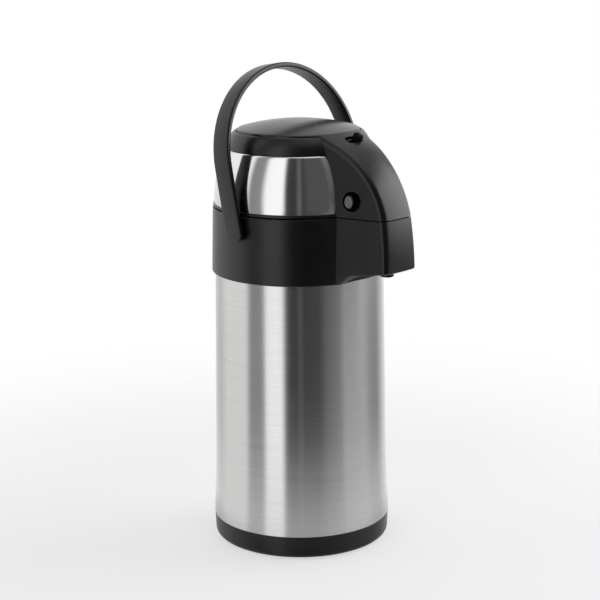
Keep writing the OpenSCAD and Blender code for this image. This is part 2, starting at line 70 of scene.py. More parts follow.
class Wire:
    """A node's output that takes part in arithmetic; each operation adds one Math node."""

    def __init__(self, graph: "Graph", socket: bpy.types.NodeSocket) -> None:
        """Holds the output and the graph that it belongs to."""
        self.graph = graph
        self.socket = socket

    def math(self, operation: str, *values: "Wire | Number") -> "Wire":
        """Adds a Math node that starts with this wire.

        Args:
            operation: Blender's name of the operation.
            values: the other operands.

        Returns:
            The node's output.
        """
        return self.graph.node("Math", {"operation": operation}, dict(enumerate([self, *values])))["Value"]

    def __add__(self, other: "Wire | Number") -> "Wire":
        """Sum."""
        return self.math("ADD", other)

    __radd__ = __add__

    def __sub__(self, other: "Wire | Number") -> "Wire":
        """Difference."""
        return self.math("SUBTRACT", other)

    def __rsub__(self, other: Number) -> "Wire":
        """Difference from a number."""
        return self.math("MULTIPLY_ADD", -1.0, other)

    def __mul__(self, other: "Wire | Number") -> "Wire":
        """Product."""
        return self.math("MULTIPLY", other)

    __rmul__ = __mul__

    def __truediv__(self, other: "Wire | Number") -> "Wire":
        """Quotient."""
        return self.math("DIVIDE", other)

    def smooth(self, low: float, high: float) -> "Wire":
        """Runs from 0 at low to 1 at high with soft ends; low may be the larger one.

        Args:
            low: the value that gives 0.
            high: the value that gives 1.

        Returns:
            The eased share.
        """
        flip = low > high
        inputs = {"Value": self, "From Min": min(low, high), "From Max": max(low, high),
                  "To Min": 1.0 if flip else 0.0, "To Max": 0.0 if flip else 1.0}
        return self.graph.node("MapRange", {"interpolation_type": "SMOOTHSTEP"}, inputs)["Result"]


Value = Wire | Number | Sequence[float]


class Node:
    """A placed node, whose outputs are read by name or place as wires."""

    def __init__(self, graph: "Graph", node: bpy.types.Node) -> None:
        """Holds the node and its graph."""
        self.graph = graph
        self.node = node

    def __getitem__(self, name: str | int) -> Wire:
        """The output of that name or place."""
        return Wire(self.graph, self.node.outputs[name])


class Graph:
    """The node tree of a material or of the world."""

    def __init__(self, owner: bpy.types.Material | bpy.types.World) -> None:
        """Empties the owner's node tree, ready for new nodes."""
        owner.use_nodes = True
        self.owner = owner
        self.tree = owner.node_tree
        self.tree.nodes.clear()

    def node(self, kind: str, settings: dict[str, Any] | None = None,
             inputs: dict[str | int, Value] | None = None) -> Node:
        """Adds a node.

        Args:
            kind: the node's type, without its "ShaderNode" prefix.
            settings: the node's own settings, set first; "stops" fills a colour ramp.
            inputs: numbers, colours or wires for its sockets, by name or place.

        Returns:
            The node, whose outputs are read by name.
        """
        made = self.tree.nodes.new("ShaderNode" + kind)
        for name, value in (settings or {}).items():
            if name == "stops":
                ramp = made.color_ramp
                while len(ramp.elements) > 1:
                    ramp.elements.remove(ramp.elements[-1])
                for i, (place, colour) in enumerate(value):
                    stop = ramp.elements[0] if i == 0 else ramp.elements.new(place)
                    stop.position = place
                    stop.color = (*colour, 1.0)
            else:
                setattr(made, name, value)
        for name, value in (inputs or {}).items():
            socket = made.inputs[name]
            if isinstance(value, Wire):
                self.tree.links.new(value.socket, socket)
            elif isinstance(value, (int, float)):
                socket.default_value = value
            else:
                wide = len(socket.default_value)
                socket.default_value = tuple(value) + (1.0,) * (wide - len(value))
        return Node(self, made)

    def place(self, scale: Sequence[float] = (1, 1, 1)) -> Wire:
        """Object coordinates, stretched to so many units of pattern in a metre on each axis."""
        place = self.node("TexCoord")["Object"]
        return self.node("Mapping", {}, {"Vector": place, "Scale": scale})["Vector"]

    def noise(self, vector: Wire, scale: float, detail: float, roughness: float = 0.5) -> Wire:
        """Noise between 0 and 1, mostly near 0.5.

        Args:
            vector: where the noise is read.
            scale: its fineness.
            detail: how many finer layers it has.
            roughness: how strong these layers are.

        Returns:
            The value.
        """
        return self.node("TexNoise", {}, {"Vector": vector, "Scale": scale, "Detail": detail,
                                          "Roughness": roughness})["Fac"]

    def tint(self, share: Value, low: Colour | Wire, high: Colour | Wire) -> Wire:
        """A colour between two colours.

        Args:
            share: 0 for the first colour, 1 for the second.
            low: the first colour.
            high: the second colour.

        Returns:
            The mixed colour.
        """
        factor, first, second, mixed = 0, 6, 7, 2
        inputs = {factor: share, first: low, second: high}
        return self.node("Mix", {"data_type": "RGBA"}, inputs)[mixed]

    def bump(self, height: Wire, depth: float, strength: float) -> Wire:
        """A normal bent by a height.

        Args:
            height: the relief, 0 to 1.
            depth: the relief's depth in metres.
            strength: the share of the relief that shows.

        Returns:
            The normal.
        """
        return self.node("Bump", {}, {"Height": height, "Distance": depth, "Strength": strength})["Normal"]

    def close(self, surface: Wire) -> None:
        """Links a shader to the output."""
        kind = "OutputWorld" if isinstance(self.owner, bpy.types.World) else "OutputMaterial"
        self.node(kind, {}, {"Surface": surface})


# Finishes


def new_graph(name: str) -> Graph:
    """A new material of that name, with an empty graph."""
    return Graph(bpy.data.materials.new(name))


@dataclass(frozen=True)
class Moulding:
    """Moulded plastic or rubber: an even colour with faint mottle, a fine spark-eroded grain and
    slightly uneven gloss.

    Attributes:
        name: the material's name.
        colour: its base colour.
        gloss: its mean roughness.
        grain: cells of the surface grain in a metre.
        relief: depth of the grain in metres.
        specular: specular level of the surface.
        mottle: cells of the mottle in a metre.
        shades: darkest and palest mottle, as shares of the colour.
        bloom: what the palest mottle has on top of that.
        rubs: cells of the rubbed patches in a metre, which are flat.
        uneven: roughness that mottle and grain add and that rubbed patches lose.
        depth: share of the grain that shows.
    """

    name: str
    colour: Colour
    gloss: float = 0.4
    grain: float = 2200.0
    relief: float = 0.00004
    specular: float = 0.5
    mottle: float = 38.0
    shades: Point2 = (0.8, 1.22)
    bloom: float = 0.0015
    rubs: Point3 = (60.0, 60.0, 360.0)
    uneven: Point3 = (0.12, 0.1, 0.05)
    depth: float = 0.6

    def make(self) -> bpy.types.Material:
        """Builds the material."""
        g = new_graph(self.name)
        mottle = g.noise(g.place(), self.mottle, 3.0)
        grain = g.noise(g.place(), self.grain, 2.0, 0.6)
        rubbed = g.noise(g.place(self.rubs), 1.0, 4.0, 0.65).smooth(0.5, 0.85)
        dark = tuple(c * self.shades[0] for c in self.colour)
        pale = tuple(c * self.shades[1] + self.bloom for c in self.colour)
        by_mottle, by_grain, by_rubs = self.uneven
        wear = (mottle - 0.5) * by_mottle + (grain - 0.5) * by_grain
        shader = g.node("BsdfPrincipled", {}, {
            "Base Color": g.tint(mottle, dark, pale),
            "Roughness": self.gloss + wear - rubbed * by_rubs,
            "Specular IOR Level": self.specular,
            "Normal": g.bump(grain, self.relief, self.depth),
        })
        g.close(shader["BSDF"])
        return g.owner


@dataclass(frozen=True)
class TurnedSteel:
    """Steel brushed or polished on a lathe: its lines run round the pot's axis.

    Attributes:
        name: the material's name.
        colour: its base colour.
        gloss: its mean roughness.
        spread: how far the gloss is stretched across the brush lines.
        line: strength of the brush lines, 0 to 1.
        relief: depth of the brush lines in metres.
        matt_front: roughness that is added next to the beak.
        fine: cells of the fine lines in a metre along each axis.
        broad: cells of the broad lines in the same way.
        clouds: cells of the clouds in the gloss in a metre.
        shades: how much darker and paler than the colour full lines are.
        uneven: roughness that full lines and clouds add.
        beak_x: distances from the middle at which the added roughness starts and is full, in metres.
        beak_y: places along the pot's depth at which it starts and is full.
    """

    name: str
    colour: Colour
    gloss: float = 0.3
    spread: float = 0.75
    line: float = 1.0
    relief: float = 0.000006
    matt_front: float = 0.0
    fine: Point3 = (14.0, 14.0, 5200.0)
    broad: Point3 = (22.0, 22.0, 1500.0)
    clouds: float = 14.0
    shades: Point2 = (0.07, 0.05)
    uneven: Point2 = (0.1, 0.05)
    beak_x: Point2 = (0.036, 0.030)
    beak_y: Point2 = (0.0, -0.02)

    def make(self) -> bpy.types.Material:
        """Builds the material."""
        g = new_graph(self.name)
        fine = g.noise(g.place(self.fine), 1.0, 3.0, 0.7)
        broad = g.noise(g.place(self.broad), 1.0, 2.0, 0.6)
        clouds = g.noise(g.place(), self.clouds, 3.0)
        lines = fine * 0.6 + broad * 0.4
        at = g.node("SeparateXYZ", {}, {"Vector": g.place()})
        start, full = (x * x for x in self.beak_x)
        front = (at["X"] * at["X"]).smooth(start, full) * at["Y"].smooth(*self.beak_y)
        dark = tuple(c * (1 - self.shades[0] * self.line) for c in self.colour)
        pale = tuple(min(1.0, c * (1 + self.shades[1] * self.line)) for c in self.colour)
        by_lines, by_clouds = self.uneven
        wear = (lines - 0.5) * (by_lines * self.line) + (clouds - 0.5) * by_clouds
        shader = g.node("BsdfPrincipled", {}, {
            "Base Color": g.tint(lines.smooth(0.3, 0.7), dark, pale),
            "Metallic": 1.0,
            "Roughness": wear + front * self.matt_front + self.gloss,
            "Anisotropic": self.spread,
            "Anisotropic Rotation": 0.25,
            "Normal": g.bump(lines, self.relief, 0.5),
        })
        g.close(shader["BSDF"])
        return g.owner


class Finish(Enum):
    """The finishes of the pot, each made once."""

    BLACK = Moulding("satin_black_moulding", (0.0026, 0.0026, 0.0028), gloss=0.32, specular=0.46)
    DOME = Moulding("button_dome_moulding", (0.004, 0.004, 0.0042), gloss=0.27)
    # Painted shade: a darker, matt black with little gloss, put on the release guides and the lock knob so
    # that the recesses and the slot look shadowed.
    PIT = Moulding("matte_black_recess", (0.002, 0.002, 0.002), gloss=0.7, specular=0.1)
    BUTTON = Moulding("release_button_moulding", (0.13, 0.13, 0.132), gloss=0.3)
    GREY = Moulding("grey_moulding", (0.32, 0.32, 0.33), gloss=0.45)
    RUBBER = Moulding("black_rubber", (0.02, 0.02, 0.02), gloss=0.7, grain=1400.0, relief=0.00006,
                      specular=0.35)
    SILICONE = Moulding("clear_grey_silicone", (0.6, 0.6, 0.58), gloss=0.5, grain=900.0, relief=0.00003)
    SHELL = TurnedSteel("brushed_shell_steel", (0.62, 0.615, 0.61), gloss=0.2, spread=0.7)
    CROWN = TurnedSteel("polished_crown_steel", (0.7, 0.7, 0.7), gloss=0.13, spread=0.4, line=0.35,
                        relief=0.000002, matt_front=0.32)
    LINER = TurnedSteel("satin_liner_steel", (0.66, 0.66, 0.65), gloss=0.32, spread=0.3, line=0.6)
    ZINC = TurnedSteel("plated_steel", (0.58, 0.58, 0.58), spread=0.0, line=0.4)

    @property
    def material(self) -> bpy.types.Material:
        """The finish's material, built at its first use."""
        return bpy.data.materials.get(self.value.name) or self.value.make()


SLOT_FINISH: dict[str, Finish] = {
    "black_plastic": Finish.BLACK, "button_plastic": Finish.BUTTON, "grey_plastic": Finish.GREY,
    "rubber": Finish.RUBBER, "silicone": Finish.SILICONE, "brushed_shell": Finish.SHELL,
    "polished_crown": Finish.CROWN, "liner_steel": Finish.LINER, "zinc_steel": Finish.ZINC,
}


def dress_cad_nodes() -> None:
    """Gives every CAD node the finish of its slot in the record."""
    for entry in frame["record"]["subparts"]:
        node = frame["nodes"][entry["node"]]
        material = SLOT_FINISH[entry["material_slot"]].material
        if node.material_slots:
            node.material_slots[0].material = material
        else:
            node.data.materials.append(material)


# Workbench


class Part(Enum):
    """Kinds of mesh element that a selection works on."""

    VERT = "VERT"
    EDGE = "EDGE"
    FACE = "FACE"


def leave_edit() -> None:
    """Goes back to object mode with nothing selected."""
    if bpy.context.mode != "OBJECT":
        bpy.ops.object.mode_set(mode="OBJECT")
    bpy.ops.object.select_all(action="DESELECT")


def activate(piece: bpy.types.Object) -> None:
    """Makes a piece the only selected and active one."""
    leave_edit()
    piece.select_set(True)
    bpy.context.view_layer.objects.active = piece


def middle(item: Any) -> Vector:
    """Middle of an edge or face, in millimetres."""
    return sum((v.co for v in item.verts), Vector()) / len(item.verts) / MM


def span(edge: Any, axis: int) -> float:
    """Length of an edge along an axis, in millimetres."""
    return abs(edge.verts[0].co[axis] - edge.verts[1].co[axis]) / MM


class Bench:
    """One piece on the workbench, shaped through Blender's operators in edit mode."""

    merge = 0.002 * MM
    smooth_to = 32.0

    def __init__(self, name: str, add: Callable[..., Any], **options: Any) -> None:
        """Adds a primitive as the piece and opens it for editing.

        Args:
            name: the piece's name.
            add: the operator that adds the primitive.
            options: the operator's options.
        """
        leave_edit()
        add(**options)
        self.piece = bpy.context.active_object
        self.piece.name = self.piece.data.name = name
        bpy.ops.object.transform_apply(location=True, rotation=True, scale=True)
        bpy.ops.object.mode_set(mode="EDIT")

    @classmethod
    def outline(cls, name: str, points: Sequence[Sequence[float]], fill: bool = True) -> "Bench":
        """Starts from a circle primitive whose points are set to an outline.

        Args:
            name: the piece's name.
            points: the outline's points in millimetres.
            fill: whether the outline is a face or a bare loop.

        Returns:
            The bench, with everything selected.
        """
        bench = cls(name, bpy.ops.mesh.primitive_circle_add, vertices=len(points),
                    fill_type="NGON" if fill else "NOTHING")
        bpy.ops.object.mode_set(mode="OBJECT")
        for vertex, point in zip(bench.piece.data.vertices, points):
            vertex.co = Vector(point) * MM
        bpy.ops.object.mode_set(mode="EDIT")
        bpy.ops.mesh.select_all(action="SELECT")
        return bench

    @classmethod
    def block(cls, name: str, size: Sequence[float], at: Sequence[float] = (0, 0, 0)) -> "Bench":
        """Starts from a cube primitive of a size and place in millimetres."""
        return cls(name, bpy.ops.mesh.primitive_cube_add, size=MM, scale=size, location=Vector(at) * MM)

    @classmethod
    def rod(cls, name: str, sides: int, radius: float, length: float,
            at: Sequence[float] = (0, 0, 0)) -> "Bench":
        """Starts from an upright cylinder primitive.

        Args:
            name: the piece's name.
            sides: number of its sides.
            radius: its radius in millimetres.
            length: its length in millimetres.
            at: its middle in millimetres.

        Returns:
            The bench.
        """
        return cls(name, bpy.ops.mesh.primitive_cylinder_add, vertices=sides, radius=radius * MM,
                   depth=length * MM, location=Vector(at) * MM)

    @classmethod
    def spun(cls, name: str, section: Sequence[Point2], steps: int) -> "Bench":
        """Turns a closed section about the pot's axis.

        Args:
            name: the piece's name.
            section: radius and height of its points, in millimetres.
            steps: number of facets round the axis.

        Returns:
            The bench, with the turned piece open for editing.
        """
        bench = cls.outline(name, [(r, 0.0, z) for r, z in section], fill=False)
        bpy.ops.mesh.spin(steps=steps, angle=math.tau, center=(0, 0, 0), axis=(0, 0, 1))
        bench.tidy()
        return bench

    def pick(self, part: Part, test: Callable[[Any], bool]) -> None:
        """Selects the elements that pass a test.

        Args:
            part: the kind of element.
            test: whether an element is wanted.
        """
        bpy.ops.mesh.select_mode(type=part.value)
        bpy.ops.mesh.select_all(action="DESELECT")
        mesh = bmesh.from_edit_mesh(self.piece.data)
        for item in {Part.VERT: mesh.verts, Part.EDGE: mesh.edges, Part.FACE: mesh.faces}[part]:
            if test(item):
                item.select_set(True)
        mesh.select_flush_mode()
        bmesh.update_edit_mesh(self.piece.data)

    def form(self, rule: Callable[[Vector], Sequence[float]], picked: bool = False) -> None:
        """Moves vertices by a rule.

        Args:
            rule: gives a vertex's new place from its old one, both in millimetres.
            picked: whether only the selected vertices move.
        """
        mesh = bmesh.from_edit_mesh(self.piece.data)
        for vertex in mesh.verts:
            if vertex.select or not picked:
                vertex.co = Vector(rule(vertex.co / MM)) * MM
        bmesh.update_edit_mesh(self.piece.data)

    def move(self, spot: Matrix) -> None:
        """Moves the whole piece into a frame in millimetres; a mirrored frame needs the tidy."""
        self.form(lambda v: spot @ v)
        self.tidy()

    def extrude(self, step: Sequence[float] = (0, 0, 0)) -> None:
        """Extrudes the selection and moves it by a step in millimetres."""
        bpy.ops.mesh.extrude_region_move(
            TRANSFORM_OT_translate={"value": tuple(Vector(step) * MM)})

    def widen(self) -> None:
        """Extrudes the outline of a left wall across the pot to the right wall."""
        self.extrude()
        self.form(lambda v: (-v.x, v.y, v.z), picked=True)
        self.tidy()

    def inset(self, width: float, depth: float = 0.0) -> None:
        """Insets the selected faces by a width and raises them by a depth in millimetres."""
        bpy.ops.mesh.inset(thickness=width * MM, depth=depth * MM)

    def bevel(self, width: float, segments: int) -> None:
        """Rounds the selected edges.

        Args:
            width: offset of the rounding in millimetres.
            segments: number of strips.
        """
        bpy.ops.mesh.bevel(offset=width * MM, offset_type="OFFSET", segments=segments, profile=0.5,
                           affect="EDGES", clamp_overlap=True)

    def tidy(self) -> None:
        """Merges doubled points and turns the faces outwards."""
        bpy.ops.mesh.select_mode(type="VERT")
        bpy.ops.mesh.select_all(action="SELECT")
        bpy.ops.mesh.remove_doubles(threshold=self.merge)
        bpy.ops.mesh.normals_make_consistent(inside=False)

    def done(self, angle: float = smooth_to) -> bpy.types.Object:
        """Closes the piece and shades it.

        Args:
            angle: edges sharper than this, in degrees, stay sharp.

        Returns:
            The finished object.
        """
        activate(self.piece)
        bpy.ops.object.shade_smooth_by_angle(angle=math.radians(angle))
        return self.piece


def apply_modifier(piece: bpy.types.Object, kind: str, **settings: Any) -> None:
    """Adds a modifier to a piece and applies it.

    Args:
        piece: the piece.
        kind: the modifier's type.
        settings: its settings.
    """
    activate(piece)
    modifier = piece.modifiers.new(kind.lower(), kind)
    for name, value in settings.items():
        setattr(modifier, name, value)
    bpy.ops.object.modifier_apply(modifier=modifier.name)


def carve(piece: bpy.types.Object, *cutters: Bench) -> None:
    """Cuts other pieces out of a piece and removes them."""
    for cutter in cutters:
        tool = cutter.done()
        apply_modifier(piece, "BOOLEAN", object=tool, solver="EXACT", use_self=True, operation="DIFFERENCE")
        bpy.data.objects.remove(tool)


def break_edges(piece: bpy.types.Object, width: float, angle: float) -> bpy.types.Object:
    """Rounds all edges that are sharper than an angle, and shades the piece again.

    Args:
        piece: the piece.
        width: width of the rounding in millimetres.
        angle: the angle in degrees.

    Returns:
        The same piece.
    """
    apply_modifier(piece, "BEVEL", width=width * MM, segments=2, limit_method="ANGLE",
                   angle_limit=math.radians(angle))
    return reshade(piece)


def thicken(piece: bpy.types.Object, wall: float, even: bool = True) -> None:
    """Gives a sheet its wall, inwards.

    Args:
        piece: the sheet.
        wall: thickness of the wall in millimetres.
        even: whether the wall keeps its thickness at corners.
    """
    apply_modifier(piece, "SOLIDIFY", thickness=wall * MM, offset=-1.0, use_even_offset=even)


def reshade(piece: bpy.types.Object, angle: float = Bench.smooth_to) -> bpy.types.Object:
    """Shades a piece again after a modifier changed its mesh, so that its large faces look flat.

    Args:
        piece: the piece.
        angle: edges sharper than this, in degrees, stay sharp.

    Returns:
        The same piece.
    """
    activate(piece)
    bpy.ops.object.shade_smooth_by_angle(angle=math.radians(angle))
    apply_modifier(piece, "WEIGHTED_NORMAL", mode="FACE_AREA", weight=90, keep_sharp=True)
    return piece


def halve(low: float, high: float, passes: Callable[[float], bool]) -> float:
    """Halves a span to find where a test stops passing.

    Args:
        low: a value that passes.
        high: a value that doesn't.
        passes: the test.

    Returns:
        The last value that passes.
    """
    for _ in range(40):
        half = (low + high) / 2
        low, high = (half, high) if passes(half) else (low, half)
    return low


def arc(at: Point2, radius: float, start: float, end: float, steps: int) -> list[Point2]:
    """Points of an arc.

    Args:
        at: its centre.
        radius: its radius.
        start: its first angle in degrees.
        end: its last angle in degrees.
        steps: number of chords.

    Returns:
        The points, both ends included.
    """
    turns = [math.radians(start + (end - start) * i / steps) for i in range(steps + 1)]
    return [(at[0] + radius * math.cos(t), at[1] + radius * math.sin(t)) for t in turns]


def rounded(corners: Sequence[Sequence[float]], steps: int = 5) -> list[Point2]:
    """A closed section with rounded corners.

    Args:
        corners: places, each with the radius of its rounding if it has one.
        steps: chords in each rounding.

    Returns:
        The section's points.
    """
    almost_straight = math.radians(88)
    points: list[Point2] = []
    for i, corner in enumerate(corners):
        here = Vector(corner[:2])
        radius = corner[2] if len(corner) > 2 else 0.0
        before = (Vector(corners[i - 1][:2]) - here).normalized()
        after = (Vector(corners[(i + 1) % len(corners)][:2]) - here).normalized()
        half = before.angle(after, math.pi) / 2
        if radius <= 0 or half > almost_straight:
            points.append((here.x, here.y))
            continue
        centre = here + (before + after).normalized() * radius / math.sin(half)
        first = here + before * radius / math.tan(half) - centre
        last = here + after * radius / math.tan(half) - centre
        swing = math.atan2(first.x * last.y - first.y * last.x, first.dot(last))
        for k in range(steps + 1):
            spoke = Matrix.Rotation(swing * k / steps, 2) @ first
            points.append((centre.x + spoke.x, centre.y + spoke.y))
    return points


def plate(name: str, outline: Sequence[Point2], start: float, end: float, edge: float) -> bpy.types.Object:
    """A plate that stands across the pot: an outline seen from the side, extruded along X.

    Args:
        name: the piece's name.
        outline: its points as Y and Z in millimetres.
        start: X of its first face.
        end: X of its last face.
        edge: rounding of its edges.

    Returns:
        The plate.
    """
    bench = Bench.outline(name, [(start, y, z) for y, z in outline])
    bench.extrude((end - start, 0, 0))
    bench.tidy()
    return break_edges(bench.done(), edge, 40)


def fit_out(piece: bpy.types.Object, body: str, slot: str, *nodes: str,
            finish: Finish | None = None) -> None:
    """Dresses a new piece and hangs it on the model.

    Args:
        piece: the piece.
        body: the CAD body that it moves with.
        slot: its material slot in the record.
        nodes: the CAD nodes that it stands for.
        finish: its finish, where it isn't the slot's own.
    """
    piece.data.materials.clear()
    piece.data.materials.append((finish or SLOT_FINISH[slot]).material)
    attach(piece, body)
    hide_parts(*nodes)
    LOG.info("%s rides on %s, %d faces", piece.name, body, len(piece.data.polygons))


# Sub-assemblies


class Side(Enum):
    """The two sides of the spout, seen from the cup."""

    LEFT = -1
    RIGHT = 1


HINGE: Point2 = (83.5, 309.0)
HINGE_R = 5.0


@dataclass(frozen=True)
class Beak:
    """Shape of the beak that the lid and the collar share, in millimetres.

    Attributes:
        half_w: half width at the front crease.
        reach: distance of the front crease from the axis at the seam.
        seam: height of the lid's lower edge.
        turn: turn of the side panels from straight ahead, in degrees.
        lean: inward lean of the lid's side panels, in degrees.
        arc_at: Y and Z of the axis that the top is turned about.
        arc_r: radius of the top along its middle.
        flat_y: Y of the point where the straight run from the ring meets the arc.
        cross_top: radius of the crown across the beak near the ring.
        cross_low: radius of the crown across the beak at the seam.
        crowned: angles along the top between which that radius grows, in degrees.
        flare: forward lean of the collar's front at the seam and at its lower edge, in degrees.
        jaw_lean: outward lean of the collar's side panels towards their lower edges, in degrees.
        release: place of the release buttons on the panels, back along them and up them.
        crease_r: rounding of the creases.
    """

    half_w: float = 19.1
    reach: float = 114.9
    seam: float = 308.3
    turn: float = 13.0
    lean: float = 4.3
    arc_at: Point2 = (-26.8, 288.3)
    arc_r: float = 91.75
    flat_y: float = -69.8
    cross_top: float = 96.0
    cross_low: float = 160.0
    crowned: Point2 = (45.0, 74.0)
    flare: Point2 = (9.5, 0.5)
    jaw_lean: float = 2.5
    release: Point2 = (30.9, 14.3)
    crease_r: float = 4.0

    @property
    def flat(self) -> float:
        """Slope of the top's straight run, which is also the angle at which it ends, in degrees."""
        return math.degrees(math.asin((self.arc_at[0] - self.flat_y) / self.arc_r))

    def top(self, angle: float) -> tuple[Vector, Vector]:
        """Middle line of the top: an arc, and before it a straight run measured by the same angle.

        Args:
            angle: angle from straight up towards the front, in degrees.

        Returns:
            The point in millimetres, and the direction out of the top there.
        """
        turn = math.radians(max(angle, self.flat))
        out = Vector((0, -math.sin(turn), math.cos(turn)))
        back = Vector((0, math.cos(turn), math.sin(turn)))
        return Vector((0, *self.arc_at)) + (out + back * (turn - math.radians(angle))) * self.arc_r, out

    def over(self, point: Vector) -> tuple[float, float]:
        """Where a point lies along the top's middle line, and how far above it.

        Args:
            point: the point in millimetres.

        Returns:
            The angle in degrees and the height, which is negative below the line.
        """
        offset = Vector((0, point.y, point.z)) - Vector((0, *self.arc_at))
        angle = math.degrees(math.atan2(-offset.y, offset.z))
        if angle >= self.flat:
            return angle, offset.length - self.arc_r
        start, out = self.top(self.flat)
        run = offset + Vector((0, *self.arc_at)) - start
        back = Vector((0, out.z, -out.y))
        return self.flat - math.degrees(run.dot(back) / self.arc_r), run.dot(out)

    def panel(self, side: Side) -> Matrix:
        """Frame of the lid's panel on a side: x inwards through it, y back along it, z up it."""
        left = (Matrix.Translation((-self.half_w, -self.reach, self.seam))
                @ Matrix.Rotation(math.radians(self.turn), 4, "Z")
                @ Matrix.Rotation(math.radians(self.lean), 4, "Y"))
        return left if side is Side.LEFT else Matrix.Diagonal((-1, 1, 1, 1)) @ left

    def release_spot(self, side: Side) -> Matrix:
        """Frame of a release button: its z goes inwards through the panel, in millimetres."""
        return (self.panel(side) @ Matrix.Translation((0, *self.release))
                @ Matrix.Rotation(math.pi / 2, 4, "Y"))

    def wall_x(self, y: float, z: float, jaw: bool = False) -> float:
        """X of the left panel at a place, in millimetres.

        Args:
            y: Y of the place.
            z: height of the place.
            jaw: whether it is the collar's panel.

        Returns:
            The panel's X, which is negative.
        """
        turn, tilt = math.radians(self.turn), math.radians(self.jaw_lean if jaw else self.lean)
        back = math.tan(turn) * (y + self.reach)
        return -self.half_w - back + math.tan(tilt) / math.cos(turn) * (z - self.seam)

    def sag(self, x: float, angle: float) -> float:
        """How far the crown across the beak lies below its middle.

        Args:
            x: X of the place.
            angle: its angle along the top, in degrees.

        Returns:
            The depth in millimetres.
        """
        low, high = self.crowned
        share = min(1.0, max(0.0, (angle - low) / (high - low)))
        radius = self.cross_top + (self.cross_low - self.cross_top) * share
        return radius - math.sqrt(radius ** 2 - x * x)

    def crease(self, angle: float) -> Vector:
        """Point of the left crease.

        Args:
            angle: angle from straight up towards the front, in degrees.

        Returns:
            The point, in millimetres.
        """
        point, out = self.top(angle)
        x, place = -self.half_w, point
        for _ in range(12):
            place = point - out * self.sag(x, angle)
            x = self.wall_x(place.y, place.z)
        return Vector((x, place.y, place.z))

    @cache
    def seam_angle(self) -> float:
        """Angle at which the crease meets the seam, in degrees."""
        return halve(40.0, 89.0, lambda angle: self.crease(angle).z > self.seam)


BEAK = Beak()


